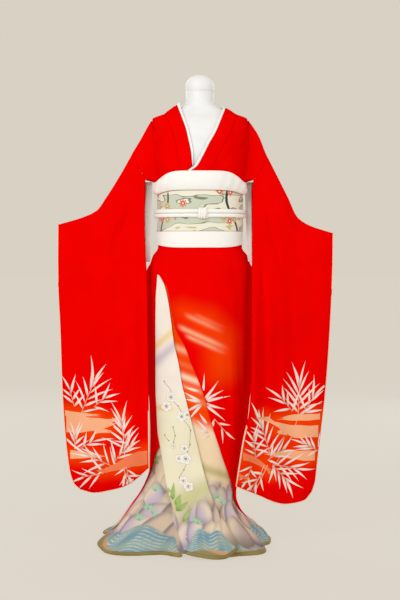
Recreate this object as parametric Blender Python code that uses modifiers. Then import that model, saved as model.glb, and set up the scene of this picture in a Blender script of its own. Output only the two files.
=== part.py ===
"""A trailing long-sleeved kimono with its sash, resting on a limbless dress form.

Metres, +Z up. The origin is the centre of the form's base, on the floor, the front faces -Y,
and the wearer's left is at +X. Each cloth piece is a thin wall on one shared hollow form:
its outer face comes from a function of the form, and Solidify gives the wall.
"""

import math
from collections import namedtuple

import bmesh
import bpy
import numpy as np
from mathutils import Vector

# Cloth and gaps
WALL = 0.0015
SEAM = 0.0003
SEAM_LEAN = 0.0006
SLEEVE_SEAM = 0.0013
LAYER = 0.0016
ROUNDNESS = 2.3
HEM_ROLL = 0.006
HEM_EDGE = 2 * HEM_ROLL + WALL + SEAM

# The hollow body and skirt: half sizes from the middle axis at each height
Section = namedtuple("Section", "z left right front back")
SECTIONS = (
    Section(0.000, 0.392, 0.262, 0.262, 0.420),
    Section(0.040, 0.328, 0.236, 0.238, 0.330),
    Section(0.083, 0.292, 0.176, 0.208, 0.275),
    Section(0.126, 0.262, 0.142, 0.186, 0.240),
    Section(0.169, 0.231, 0.129, 0.172, 0.215),
    Section(0.212, 0.208, 0.131, 0.163, 0.200),
    Section(0.280, 0.186, 0.146, 0.157, 0.190),
    Section(0.400, 0.184, 0.165, 0.152, 0.180),
    Section(0.600, 0.190, 0.183, 0.150, 0.172),
    Section(0.800, 0.195, 0.190, 0.150, 0.170),
    Section(0.980, 0.190, 0.186, 0.146, 0.160),
    Section(1.070, 0.154, 0.149, 0.130, 0.130),
    Section(1.200, 0.150, 0.150, 0.122, 0.120),
    Section(1.300, 0.152, 0.152, 0.124, 0.120),
    Section(1.380, 0.162, 0.162, 0.126, 0.120),
    Section(1.460, 0.170, 0.170, 0.116, 0.112),
    Section(1.510, 0.173, 0.172, 0.100, 0.100),
    Section(1.530, 0.172, 0.170, 0.088, 0.088),
    Section(1.552, 0.120, 0.120, 0.070, 0.070),
    Section(1.573, 0.091, 0.091, 0.061, 0.061),
    Section(1.600, 0.070, 0.070, 0.056, 0.056),
)

# Soft vertical folds of the skirt: direction and width in degrees, depth at the top and at the hem
Fold = namedtuple("Fold", "direction width at_hip at_hem")
FOLDS = (
    Fold(-122, 11, 0.004, 0.020),
    Fold(-97, 8, -0.004, -0.010),
    Fold(-48, 16, 0.000, 0.030),
    Fold(-22, 10, 0.000, -0.045),
    Fold(50, 13, 0.003, 0.024),
    Fold(76, 11, -0.004, -0.020),
    Fold(95, 9, 0.003, 0.006),
    Fold(114, 9, -0.004, -0.014),
    Fold(133, 10, 0.006, 0.020),
    Fold(153, 10, -0.005, -0.018),
    Fold(173, 10, 0.005, 0.022),
    Fold(-167, 10, -0.004, -0.018),
    Fold(-146, 10, 0.005, 0.020),
)
FOLD_TOP = 1.00

# Heights of the skirt's rows, from above the hem to the waist
SKIRT_ROWS = (0.032, 0.060, 0.095, 0.135, 0.185, 0.240, 0.310, 0.420, 0.550, 0.700, 0.840,
              0.930, 0.980, 1.015, 1.042, 1.062, 1.080, 1.120, 1.180, 1.240, 1.275, 1.301)
SIDE_SEAM = 112
SIDE_SEAM_TOP = {"front": 87, "back": 93}
EDGE_CLOSENESS = 1.35
UNDER_FRONT = 0.0028
BODY_COLUMNS = {"left": 14, "right": 8}

# Shares of the way from the sash up to the shoulder line, close together near the line
FRONT_SHARES = (0.0, 0.25, 0.45, 0.62, 0.76, 0.86, 0.93, 0.975, 1.0)
BACK_SHARES = (0.0, 0.25, 0.45, 0.62, 0.80, 0.86, 0.91, 0.95, 0.98, 1.0)
NECKLINE_SHARE = 0.80

# Edges seen from the front, as x at a height
Edge = namedtuple("Edge", "z x")
LEFT_FRONT_EDGE = (
    Edge(1.330, 0.020), Edge(1.300, 0.000), Edge(1.270, -0.030), Edge(1.240, -0.060), Edge(1.180, -0.110),
    Edge(1.120, -0.138), Edge(1.069, -0.147), Edge(1.026, -0.170), Edge(0.985, -0.168), Edge(0.960, -0.150),
    Edge(0.935, -0.117), Edge(0.860, -0.102), Edge(0.782, -0.084), Edge(0.730, -0.056), Edge(0.657, -0.028),
    Edge(0.615, -0.010), Edge(0.538, 0.017), Edge(0.447, 0.042), Edge(0.384, 0.063), Edge(0.319, 0.084),
    Edge(0.252, 0.107), Edge(0.195, 0.122),
)
RIGHT_FRONT_EDGE = (
    Edge(1.330, -0.060), Edge(1.270, -0.064), Edge(1.200, -0.082), Edge(1.070, -0.125), Edge(0.980, -0.138),
    Edge(0.700, -0.141), Edge(0.386, -0.141), Edge(0.332, -0.163), Edge(0.286, -0.176), Edge(0.250, -0.190),
)
TURNBACK_LEFT = (
    Edge(0.976, -0.150), Edge(0.885, -0.155), Edge(0.568, -0.155), Edge(0.504, -0.152), Edge(0.420, -0.148),
    Edge(0.379, -0.141), Edge(0.276, -0.123), Edge(0.183, -0.105), Edge(0.091, -0.069), Edge(0.000, -0.040),
)
TURNBACK_RIGHT = (
    Edge(0.976, -0.146), Edge(0.940, -0.126), Edge(0.886, -0.112), Edge(0.823, -0.102), Edge(0.740, -0.091),
    Edge(0.656, -0.073), Edge(0.593, -0.063), Edge(0.538, -0.049), Edge(0.398, -0.014), Edge(0.246, 0.024),
    Edge(0.141, 0.059), Edge(0.049, 0.118), Edge(0.000, 0.130),
)
TURNBACK_TOP = 0.974
HEM_TIP = 104
TRAIN_START = 106
TURNBACK_STAND = 0.024
TURNBACK_EDGE = 0.0004
TURNBACK_SEAT = 0.0014
OKUMI_OVERLAP = 5
FLARE_TOP = 0.440

# The line of shoulder and arm, where front and back meet, on the wearer's right and left
Arm = namedtuple("Arm", "x right_z left_z")
ARM_LINE = (
    Arm(0.173, 1.5290, 1.5270),
    Arm(0.190, 1.5000, 1.5040),
    Arm(0.212, 1.4600, 1.4680),
    Arm(0.238, 1.4170, 1.4040),
    Arm(0.259, 1.3790, 1.3620),
    Arm(0.281, 1.3400, 1.3200),
    Arm(0.310, 1.2950, 1.2600),
    Arm(0.340, 1.2460, 1.2080),
)
ARMHOLE_FOOT = 1.314

# Sleeve outlines seen from the front
Spot = namedtuple("Spot", "x z")
RIGHT_SLEEVE = {
    "top": (Spot(0.238, 1.417), Spot(0.281, 1.340), Spot(0.340, 1.246), Spot(0.371, 1.204),
            Spot(0.420, 1.180), Spot(0.511, 1.153)),
    "inner": (Spot(0.238, 1.417), Spot(0.222, 1.360), Spot(0.197, 1.316), Spot(0.196, 1.270),
              Spot(0.206, 1.200), Spot(0.207, 0.900), Spot(0.204, 0.660), Spot(0.194, 0.450), Spot(0.181, 0.292)),
    "bottom": (Spot(0.181, 0.292), Spot(0.252, 0.226), Spot(0.330, 0.195), Spot(0.385, 0.186), Spot(0.432, 0.195)),
    "outer": (Spot(0.511, 1.153), Spot(0.511, 0.960), Spot(0.504, 0.774), Spot(0.497, 0.558),
              Spot(0.487, 0.400), Spot(0.472, 0.270), Spot(0.457, 0.220), Spot(0.432, 0.195)),
}
LEFT_SLEEVE = {
    "top": (Spot(0.238, 1.404), Spot(0.281, 1.320), Spot(0.318, 1.246), Spot(0.350, 1.180),
            Spot(0.390, 1.152), Spot(0.479, 1.122)),
    "inner": (Spot(0.238, 1.404), Spot(0.220, 1.350), Spot(0.192, 1.312), Spot(0.186, 1.270),
              Spot(0.187, 1.200), Spot(0.188, 0.900), Spot(0.186, 0.640), Spot(0.176, 0.500),
              Spot(0.150, 0.380), Spot(0.127, 0.232)),
    "bottom": (Spot(0.127, 0.232), Spot(0.212, 0.187), Spot(0.312, 0.148), Spot(0.375, 0.158), Spot(0.405, 0.188)),
    "outer": (Spot(0.479, 1.122), Spot(0.476, 0.960), Spot(0.468, 0.774), Spot(0.453, 0.558),
              Spot(0.438, 0.420), Spot(0.423, 0.290), Spot(0.417, 0.230), Spot(0.405, 0.188)),
}
SLEEVE_FORWARD = {"right": 0.100, "left": 0.140}
SLEEVE_GAP = 0.018
SLEEVE_COLUMNS = 16
CUFF_HEIGHT = 0.230
CUFF_OPEN = 0.011
STRIP_TOP = 1.262
STRIP_LOW = 1.020
STRIP_WIDTH = 0.015

# Collar: inner edge on each side, from the V to the shoulder, and the shared half at the back
COLLAR_WIDTH = 0.048
LEFT_COLLAR = (
    Spot(-0.045, 1.318), Spot(-0.032, 1.339), Spot(-0.011, 1.355), Spot(0.011, 1.392), Spot(0.032, 1.434),
    Spot(0.056, 1.477), Spot(0.075, 1.522), Spot(0.086, 1.548),
)
RIGHT_COLLAR = (
    Spot(-0.0275, 1.356), Spot(-0.035, 1.406), Spot(-0.046, 1.449), Spot(-0.057, 1.488), Spot(-0.071, 1.522),
    Spot(-0.084, 1.548),
)
BACK_STAND = 0.030
COLLAR_EDGE_SHOWN = 0.009
COLLAR_EDGE_GAP = 0.0009

# Sash group, all round the waist
OBI_THICK = 0.0034
OBI_BULGE = 0.0010
Band = namedtuple("Band", "name low high side_low side_high front_thick back_thick bulge")
BANDS = (
    Band("lower_sash", 1.070, 1.1275, 1.080, 1.1275, 0.0034, 0.0034, 0.0016),
    Band("obi", 1.1285, 1.271, 1.1285, 1.258, OBI_THICK, OBI_THICK, OBI_BULGE),
    Band("obi_age", 1.2725, 1.340, 1.2595, 1.293, 0.0100, 0.0034, 0.0060),
)
BAND_GAP = 0.0011
CORD_CLEAR = 0.0006
CORD_RADIUS = 0.0042
CORD_HEIGHTS = {"obijime_upper": 1.1925, "obijime_lower": 1.1835}
DRUM_WIDTH = 0.290
DRUM_LOW = 1.085
DRUM_HIGH = 1.345
DRUM_DEPTH = 0.082
DRUM_WALL = 0.0025

# Dress form and stand
FORM_CLEAR = 0.0050
FORM_CLEAR_WAIST = 0.0125
FORM_BOTTOM = 0.900
NECK_RADIUS = 0.051
NECK_TOP = 1.630
CAP_TOP = 1.690
POLE_RADIUS = 0.0175
BASE_RADIUS = 0.120
BASE_HEIGHT = 0.012

COLLECTION = "trailing_kimono"


def smooth_column(keys, values):
    """A smooth function through a table's column that never overshoots its rows."""
    order = np.argsort(keys)
    x = np.array(keys, float)[order]
    y = np.array(values, float)[order]
    step = np.diff(x)
    rise = np.diff(y) / step
    slope = np.empty_like(y)
    slope[0], slope[-1] = rise[0], rise[-1]
    same = rise[:-1] * rise[1:] > 0
    slope[1:-1] = np.where(same, 2 * rise[:-1] * rise[1:] / np.where(same, rise[:-1] + rise[1:], 1), 0)

    def at(value):
        value = min(max(value, x[0]), x[-1])
        i = min(max(int(np.searchsorted(x, value)) - 1, 0), len(step) - 1)
        t = (value - x[i]) / step[i]
        return float(
            y[i] * (1 + 2 * t) * (1 - t) ** 2 + y[i + 1] * t * t * (3 - 2 * t)
            + step[i] * (slope[i] * t * (1 - t) ** 2 - slope[i + 1] * t * t * (1 - t))
        )

    return at


def column(table, key, value):
    return smooth_column([getattr(row, key) for row in table], [getattr(row, value) for row in table])


SIZE = {name: column(SECTIONS, "z", name) for name in ("left", "right", "front", "back")}
ARM = {"right": column(ARM_LINE, "x", "right_z"), "left": column(ARM_LINE, "x", "left_z")}
EDGE = {
    "left_front": column(LEFT_FRONT_EDGE, "z", "x"),
    "right_front": column(RIGHT_FRONT_EDGE, "z", "x"),
    "turnback_left": column(TURNBACK_LEFT, "z", "x"),
    "turnback_right": column(TURNBACK_RIGHT, "z", "x"),
}


def fade(value, low, high):
    """0 below low, 1 above high, and smooth between."""
    t = min(max((value - low) / (high - low), 0), 1)
    return t * t * (3 - 2 * t)


def fold_depth(phi, z):
    down = 1 - fade(z, 0.0, 0.42)
    total = 0
    for fold in FOLDS:
        away = (phi - fold.direction + 180) % 360 - 180
        depth = fold.at_hip * (1 - fade(z, 0.86, FOLD_TOP)) * (1 - down) + fold.at_hem * down ** 1.6
        total += depth * math.exp(-((away / fold.width) ** 2))
    return total


def power(value, exponent):
    return math.copysign(abs(value) ** exponent, value)


def plain_point(phi, z):
    """The hollow form's outer face at a direction, 0 at the front and 90 at +X, without offset."""
    sine, cosine = math.sin(math.radians(phi)), math.cos(math.radians(phi))
    across = SIZE["right" if sine >= 0 else "left"](z)
    deep = SIZE["front" if cosine >= 0 else "back"](z)
    x = across * power(sine, 2 / ROUNDNESS)
    y = -deep * power(cosine, 2 / ROUNDNESS)
    reach = math.hypot(x, y)
    grow = 1 + fold_depth(phi, z) / reach
    return Vector((x * grow, y * grow, z))


def form_point(phi, z, out=0.0):
    """The same point moved out along the surface by a distance."""
    point = plain_point(phi, z)
    if not out:
        return point
    along = plain_point(phi + 1.5, z) - plain_point(phi - 1.5, z)
    low = max(z - 0.006, 0.0)
    up = plain_point(phi, low + 0.012) - plain_point(phi, low)
    return point + along.cross(up).normalized() * out


def front_angle(x, z):
    """The direction whose point on the front lies at this x, or the side where there is none."""
    low, high = -88.0, 88.0
    for _ in range(18):
        middle = (low + high) / 2
        if plain_point(middle, z).x < x:
            low = middle
        else:
            high = middle
    return (low + high) / 2


def ridge(x):
    """Height of the shoulder and arm line at a distance from the middle."""
    side = "left" if x >= 0 else "right"
    width = "right" if x >= 0 else "left"
    away = abs(x)
    if away >= ARM_LINE[0].x:
        return ARM[side](away)
    low, high = 1.51, 1.60
    for _ in range(24):
        middle = (low + high) / 2
        if SIZE[width](middle) > away:
            low = middle
        else:
            high = middle
    return (low + high) / 2


def half_depth(x, z, back=False):
    """Distance of the upper body's cloth in front of or behind the shoulder line's plane."""
    across = SIZE["right" if x >= 0 else "left"](z)
    deep = SIZE["back" if back else "front"](z)
    t = min(abs(x) / across, 1)
    body = deep * (1 - t ** ROUNDNESS) ** (1 / ROUNDNESS)
    below = max(ridge(x) - z, 0)
    free = SLEEVE_GAP * math.sqrt(min(below / 0.12, 1))
    total = (body ** 4 + free ** 4) ** 0.25
    if back:
        total += BACK_STAND * math.exp(-((x / 0.085) ** 2)) * fade(z, 1.38, 1.53)
    return total


def upper_point(x, z, back=False, out=0.0):
    depth = half_depth(x, z, back)
    point = Vector((x, depth if back else -depth, z))
    if not out:
        return point
    reach = 0.004
    slope_x = (half_depth(x + reach, z, back) - half_depth(x - reach, z, back)) / (2 * reach)
    slope_z = (half_depth(x, z + reach, back) - half_depth(x, z - reach, back)) / (2 * reach)
    facing = 1 if back else -1
    return point + Vector((-slope_x, facing, -slope_z)).normalized() * out


def along(spots):
    """A smooth path through spots, by its share of length."""
    places = [Vector((spot.x, spot.z)) for spot in spots]
    length = [0.0]
    for here, there in zip(places, places[1:]):
        length.append(length[-1] + (there - here).length)
    path_x = smooth_column(length, [place.x for place in places])
    path_z = smooth_column(length, [place.y for place in places])
    return lambda share: Vector((path_x(share * length[-1]), path_z(share * length[-1])))


SLEEVE = {
    "left": {name: along(spots) for name, spots in LEFT_SLEEVE.items()},
    "right": {name: along(spots) for name, spots in RIGHT_SLEEVE.items()},
}


def part_collection():
    group = bpy.data.collections.new(COLLECTION)
    bpy.context.scene.collection.children.link(group)
    return group


def finish_material(name, colour, roughness, metallic=0.0):
    material = bpy.data.materials.new(name)
    material.use_nodes = True
    shader = material.node_tree.nodes["Principled BSDF"]
    shader.inputs["Base Color"].default_value = (*colour, 1)
    shader.inputs["Roughness"].default_value = roughness
    shader.inputs["Metallic"].default_value = metallic
    return material


def add_object(group, name, mesh_from, material):
    mesh = bpy.data.meshes.new(name)
    mesh_from.to_mesh(mesh)
    mesh_from.free()
    mesh.materials.append(material)
    mesh.shade_smooth()
    piece = bpy.data.objects.new(name, mesh)
    group.objects.link(piece)
    return piece


def shaped_grid(shape, columns, rows):
    """A grid whose points are put in place by shape(u, v), with u and v from 0 to 1."""
    grid = bmesh.new()
    bmesh.ops.create_grid(grid, x_segments=columns, y_segments=rows, size=0.5)
    for vert in grid.verts:
        vert.co = shape(min(max(vert.co.x + 0.5, 0), 1), min(max(vert.co.y + 0.5, 0), 1))
    bmesh.ops.remove_doubles(grid, verts=grid.verts, dist=0.00001)
    return grid


def face_out(grid, inside):
    """Turns the faces so that they point away from inside(place)."""
    grid.normal_update()
    total = 0
    for face in grid.faces:
        middle = face.calc_center_median()
        total += face.normal.dot(middle - inside(middle)) * face.calc_area()
    if total < 0:
        bmesh.ops.reverse_faces(grid, faces=grid.faces)


def axis_of(place):
    return Vector((0, 0, place.z))


def cloth(group, name, shape, columns, rows, material, inside=axis_of, wall=WALL):
    grid = shaped_grid(shape, columns, rows)
    face_out(grid, inside)
    piece = add_object(group, name, grid, material)
    thicken(piece, wall)
    return piece


def thicken(piece, wall):
    solid = piece.modifiers.new("wall", "SOLIDIFY")
    solid.thickness = wall
    solid.offset = -1


def closed_ring(group, name, shape, around, profile, material):
    """A solid ring: u runs round the waist and v round the ring's own profile."""
    ring = shaped_grid(shape, around, profile)
    bmesh.ops.recalc_face_normals(ring, faces=ring.faces)
    return add_object(group, name, ring, material)


# The body: one length of cloth on each side, from the front hem over the shoulder to the back hem

def seam_spot(side, share):
    """Where the collar is sewn on, from under the sash up to the shoulder."""
    spots = LEFT_COLLAR if side == "left" else RIGHT_COLLAR
    path = along(spots)
    here = path(share)
    step = 0.02
    ahead = path(min(share + step, 1)) - path(max(share - step, 0))
    ahead.normalize()
    outward = Vector((ahead.y, -ahead.x)) if side == "left" else Vector((-ahead.y, ahead.x))
    width = COLLAR_WIDTH * fade(share, -0.9, 0.25)
    return here + outward * width


def shoulder_start(side):
    """Where the collar's seam crosses the shoulder line."""
    sign = 1 if side == "left" else -1
    x = sign * 0.132
    return Vector((x, ridge(x)))


def upper_inner(side, share):
    """The body's inner edge above the sash, from share 0 at the sash to 1 at the shoulder."""
    spots = [seam_spot(side, s) for s in (0.12, 0.30, 0.50, 0.70, 0.86)]
    if side == "right":
        spots[0] = Vector((-0.070, 1.322))
    path = along([Spot(s.x, s.y) for s in spots] + [Spot(*shoulder_start(side))])
    return path(share)


def armhole_length(side):
    """The armhole's share of the sleeve's inner edge, from the shoulder line to its foot."""
    inner = SLEEVE[side]["inner"]
    low, high = 0.0, 0.3
    for _ in range(24):
        middle = (low + high) / 2
        if inner(middle).y > ARMHOLE_FOOT:
            low = middle
        else:
            high = middle
    return high


def armhole(side, share):
    """The armhole from share 0 at its foot to 1 on the shoulder line."""
    sign = 1 if side == "left" else -1
    spot = SLEEVE[side]["inner"](armhole_length(side) * (1 - share))
    return Vector((sign * spot.x, spot.y))


def front_upper(side, u, share):
    inner, outer = upper_inner(side, share), armhole(side, share)
    spot = inner.lerp(outer, u)
    start, end = shoulder_start(side), armhole(side, 1)
    x = start.x + (end.x - start.x) * u
    bend = Vector((x, ridge(x))) - start.lerp(end, u)
    return spot + bend * share ** 1.5


def neck_back_spot(side, share):
    """The back neckline's seam, from share 0 at the middle of the back to 1 on the shoulder."""
    sign = 1 if side == "left" else -1
    start = shoulder_start(side)
    path = along((
        Spot(sign * SEAM_LEAN / 2, 1.522), Spot(sign * 0.052, 1.524), Spot(sign * 0.098, 1.532),
        Spot(start.x, start.y),
    ))
    return path(share)


def back_upper(side, u, share):
    """The back above the waist: the neckline takes the top of the middle seam."""
    sign = 1 if side == "left" else -1
    low, high = 1.320, 1.522
    inner = Vector((sign * SEAM_LEAN / 2, low + (high - low) * share / NECKLINE_SHARE))
    if share > NECKLINE_SHARE:
        inner = neck_back_spot(side, (share - NECKLINE_SHARE) / (1 - NECKLINE_SHARE))
    outer = armhole(side, share)
    spot = inner.lerp(outer, u)
    start, end = shoulder_start(side), armhole(side, 1)
    x = start.x + (end.x - start.x) * u
    bend = Vector((x, ridge(x))) - start.lerp(end, u)
    return spot + bend * share ** 3


def skirt_point(side, u, z, back):
    """A point of a body length below the sash's upper edge."""
    sign = 1 if side == "left" else -1
    side_turn = SIDE_SEAM - (SIDE_SEAM - SIDE_SEAM_TOP["back" if back else "front"]) * fade(z, 1.20, 1.30)
    if back:
        middle = 180 - math.degrees(SEAM_LEAN / 2 / SIZE["back"](z))
        edge = side_turn + math.degrees(SEAM_LEAN / SIZE[side_width(side)](z))
        return form_point(sign * (middle + (edge - middle) * u), z)
    table = LEFT_FRONT_EDGE if side == "left" else RIGHT_FRONT_EDGE
    edge_z = max(z, table[-1].z)
    phi_in = front_angle(EDGE[side + "_front"](edge_z), edge_z)
    phi_in += (sign * HEM_TIP - phi_in) * (1 - fade(z, 0.045, edge_z))
    phi = phi_in + (sign * side_turn - phi_in) * u ** EDGE_CLOSENESS
    if side == "left":
        return form_point(phi, z)
    below = 1 - fade(z, 1.27, 1.30)
    inward = 1 - fade(abs(phi), 89, SIDE_SEAM - 5)
    under = WALL + LAYER + UNDER_FRONT * fade(z, 0.84, 0.93)
    return form_point(phi, z, -under * below * inward)


def side_width(side):
    """The section's column on this side of the wearer."""
    return "right" if side == "left" else "left"


def body_shape(side):
    """u from the middle to the side, v from the front hem over the shoulder to the back hem."""
    rows = (HEM_EDGE,) + SKIRT_ROWS
    front = [("skirt", z) for z in rows] + [("upper", share) for share in FRONT_SHARES]
    back = [("upper", share) for share in BACK_SHARES[-2::-1]] + [("skirt", z) for z in rows[::-1]]
    steps = front + back

    def shape(u, v):
        index = round(v * (len(steps) - 1))
        kind, level = steps[index]
        behind = index >= len(front)
        if kind == "skirt":
            return skirt_point(side, u, level, behind)
        spot = back_upper(side, u, level) if behind else front_upper(side, u, level)
        if level >= 1:
            return Vector((spot.x, 0, ridge(spot.x)))
        return upper_point(spot.x, spot.y, behind)

    return shape, len(steps) - 1


def build_body(group, red):
    for side in ("left", "right"):
        shape, rows = body_shape(side)
        cloth(group, "body_" + side, shape, BODY_COLUMNS[side], rows, red)


# Painted panels of the skirt's opening

def at_height(point, z):
    return Vector((point.x, point.y, z))


def turnback_lift(u):
    """The turned-back lining lifts off the floor at both of its lower corners."""
    return 0.018 * (2 * u - 1) ** 2 + 0.010 * fade(u, 0.6, 1.0)


def turnback_shape(u, v):
    low = HEM_EDGE + TURNBACK_EDGE + turnback_lift(u)
    z = low + (TURNBACK_TOP - low) * v ** 1.35
    left = front_angle(EDGE["turnback_left"](z), z)
    right = front_angle(EDGE["turnback_right"](z), z)
    lift = WALL + SEAM_LEAN + LAYER * (1 - fade(z, 0.80, 0.90)) - TURNBACK_SEAT * fade(z, 0.88, 0.95)
    lift += TURNBACK_STAND * (1 - fade(z, 0.04, 0.32))
    return at_height(form_point(left + (right - left) * u, z, lift), z)


def okumi_left_shape(u, v):
    """The left front's painted overlap: under the turned-back lining and the red front."""
    top = 0.900
    low = HEM_EDGE
    z = low + (top - low) * v ** 1.35
    left = front_angle(EDGE["turnback_right"](z) - 0.022, z)
    left += (4 - left) * (1 - fade(z, 0.0, 0.16))
    edge_z = max(z, LEFT_FRONT_EDGE[-1].z)
    right = front_angle(EDGE["left_front"](edge_z), edge_z) + OKUMI_OVERLAP * fade(z, 0.12, 0.24)
    right += (HEM_TIP - 2 - right) * (1 - fade(z, 0.045, edge_z))
    under = (WALL + LAYER) * (1.2 + 0.8 * (1 - fade(z, 0.30, 0.45)))
    return at_height(form_point(left + (right - left) * u, z, -under), z)


def okumi_right_shape(u, v):
    """The right front's painted overlap: it flares to the left and lies on the floor."""
    low = HEM_EDGE
    z = low + (FLARE_TOP - low) * v ** 1.2
    edge_z = max(z, RIGHT_FRONT_EDGE[-1].z)
    left = front_angle(EDGE["right_front"](edge_z), edge_z) - OKUMI_OVERLAP * fade(z, 0.12, 0.24)
    left += (2 - HEM_TIP - left) * (1 - fade(z, 0.045, edge_z))
    right = front_angle(EDGE["turnback_left"](z) + 0.012 + 0.024 * fade(z, 0.05, 0.25), z)
    under = (WALL + LAYER) * (2 + fade(z, 0.15, 0.28))
    return at_height(form_point(left + (right - left) * u, z, -under), z)


def on_floor(_share):
    return 0.0


def hem_roll(group, name, shape, start, end, count, material, lift=on_floor):
    """A padded hem roll just below a sheet's lower edge."""
    points = []
    for i in range(count):
        share = start + (end - start) * i / (count - 1)
        edge = shape(share)
        points.append(Vector((edge.x, edge.y, HEM_ROLL + lift(share))))
    guide = bpy.data.curves.new(name, "CURVE")
    guide.dimensions = "3D"
    guide.twist_mode = "Z_UP"
    guide.bevel_depth = HEM_ROLL
    guide.bevel_resolution = 2
    guide.use_fill_caps = True
    spline = guide.splines.new("POLY")
    spline.points.add(count - 1)
    for place, point in zip(points, spline.points):
        point.co = (*place, 1)
    guide.materials.append(material)
    piece = bpy.data.objects.new(name, guide)
    group.objects.link(piece)


def build_skirt_panels(group, painted, lining, roll):
    cloth(group, "turned_back_lining", turnback_shape, 6, 20, lining)
    cloth(group, "okumi_left", okumi_left_shape, 8, 18, painted)
    cloth(group, "okumi_right", okumi_right_shape, 6, 12, painted)
    hem_roll(group, "hem_roll_turned_back", lambda t: turnback_shape(t, 0), 0.03, 0.95, 12, roll, turnback_lift)
    hem_roll(group, "hem_roll_left", lambda t: okumi_left_shape(t, 0), 0.04, 0.97, 16, roll)
    hem_roll(group, "hem_roll_right", lambda t: okumi_right_shape(t, 0), 0.03, 0.96, 12, roll)
    hem_roll(group, "hem_roll_train", train_edge, 0.02, 0.98, 28, roll)


def train_edge(t):
    """The back hem from the wearer's left round to the right."""
    first = TRAIN_START + (360 - 2 * TRAIN_START) * t
    phi = first if first <= 180 else first - 360
    return form_point(phi, HEM_EDGE)


# Sleeves

def sleeve_spot(outline, u, v):
    """A place inside the four edges of the sleeve's outline."""
    top, bottom = outline["top"](u), outline["bottom"](u)
    inner, outer = outline["inner"](v), outline["outer"](v)
    corners = (
        outline["top"](0) * (1 - u) * (1 - v) + outline["top"](1) * u * (1 - v)
        + outline["bottom"](0) * (1 - u) * v + outline["bottom"](1) * u * v
    )
    return top * (1 - v) + bottom * v + inner * (1 - u) + outer * u - corners


def sleeve_middle(side, u, v, z):
    """How far forward the sleeve hangs, with its long soft folds."""
    hang = fade(1.31 - z, 0.0, 0.62)
    forward = SLEEVE_FORWARD[side] * (1 - u) ** 1.4 * hang
    ripple = 0.007 * math.sin(2 * math.pi * (2.6 * u + 0.12)) * fade(v, 0.12, 0.6) * (1 - u) ** 0.5
    return -forward - ripple


def sleeve_half(side, u, v, spot):
    """Half the distance between the sleeve's front and back."""
    sign = 1 if side == "left" else -1
    open_end = SLEEVE_GAP * math.sqrt(min(v / 0.09, 1))
    foot = math.sqrt(min(max(1 - v, 0) / 0.06, 1))
    outer_edge = math.sqrt(min(max(1 - u, 0) / 0.10, 1))
    own = open_end * foot * outer_edge
    sewn = (1 - fade(u, 0.0, 0.30)) * fade(spot.y, 1.20, 1.31)
    return own + (half_depth(sign * spot.x, spot.y) - own) * sewn


def sleeve_rows(side):
    """Rows from the shoulder line to the bottom: close together along the armhole and at the bottom fold."""
    sewn = armhole_length(side)
    return (
        [sewn * (1 - share) for share in (1.0, 0.975, 0.86, 0.62, 0.45, 0.25)]
        + [sewn + (0.95 - sewn) * step / 9 for step in range(10)] + [0.994, 1.0]
    )


def sleeve_shape(side):
    sign = 1 if side == "left" else -1
    outline = SLEEVE[side]
    rows = sleeve_rows(side)

    def shape(s, v):
        front = s <= 0.5
        u = 2 * s if front else 2 * (1 - s)
        row = rows[round(v * (len(rows) - 1))]
        row += (v - row) * fade(u, 0.25, 1.0)
        spot = sleeve_spot(outline, u, row)
        half = sleeve_half(side, u, row, spot) if 0 < v < 1 else 0
        middle = sleeve_middle(side, u, row, spot.y)
        y = middle - half if front else middle + half
        return Vector((sign * (spot.x + SLEEVE_SEAM * (1 - u)), y, spot.y))

    return shape


def open_cuff(grid, side):
    """Parts front from back along the outer edge, for the height of the cuff."""
    outer = LEFT_SLEEVE["outer"] if side == "left" else RIGHT_SLEEVE["outer"]
    top = outer[0].z
    reach = max(abs(vert.co.x) for vert in grid.verts)
    cuff = []
    for edge in grid.edges:
        a, b = edge.verts
        level = (a.co.z + b.co.z) / 2
        steep = abs(a.co.z - b.co.z) > abs(a.co.x - b.co.x)
        if steep and min(abs(a.co.x), abs(b.co.x)) > reach - 0.012 and top - CUFF_HEIGHT < level < top:
            if len({face.calc_center_median().y > edge.verts[0].co.y for face in edge.link_faces}) == 2:
                cuff.append(edge)
    bmesh.ops.split_edges(grid, edges=cuff)
    boundary = {vert for edge in grid.edges if edge.is_boundary for vert in edge.verts}
    for vert in boundary:
        if abs(vert.co.x) > reach - 0.012 and len(vert.link_faces) <= 2:
            depth = (top - vert.co.z) / CUFF_HEIGHT
            if 0 < depth < 1:
                middle = sum((face.calc_center_median().y for face in vert.link_faces)) / len(vert.link_faces)
                vert.co.y += math.copysign(CUFF_OPEN * math.sin(math.pi * depth), middle - vert.co.y)


def close_corners(grid):
    """Splits the quads at the outer corners through the corner, so that front and back never lie together."""
    farthest = max(abs(vert.co.x) for vert in grid.verts)
    outer = [vert for vert in grid.verts if len(vert.link_faces) == 2 and len(vert.link_edges) == 2]
    for corner in outer:
        if abs(corner.co.x) > 0.7 * farthest:
            for loop in list(corner.link_loops):
                bmesh.utils.face_split(loop.face, corner, loop.link_loop_next.link_loop_next.vert)


def build_sleeves(group, red, lining):
    for side in ("left", "right"):
        shape = sleeve_shape(side)
        grid = shaped_grid(shape, SLEEVE_COLUMNS, len(sleeve_rows(side)) - 1)
        close_corners(grid)
        open_cuff(grid, side)

        def inside(place, side=side):
            share = min(max((abs(place.x) - 0.19) / 0.3, 0), 1)
            return Vector((place.x, sleeve_middle(side, share, 0.5, place.z), place.z))

        face_out(grid, inside)
        piece = add_object(group, "sleeve_" + side, grid, red)
        thicken(piece, WALL)
        cloth(group, "sleeve_lining_" + side, lining_strip_shape(side), 2, 8, lining, inside=far_behind)


def far_behind(place):
    return Vector((place.x, 1.0, place.z))


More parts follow.
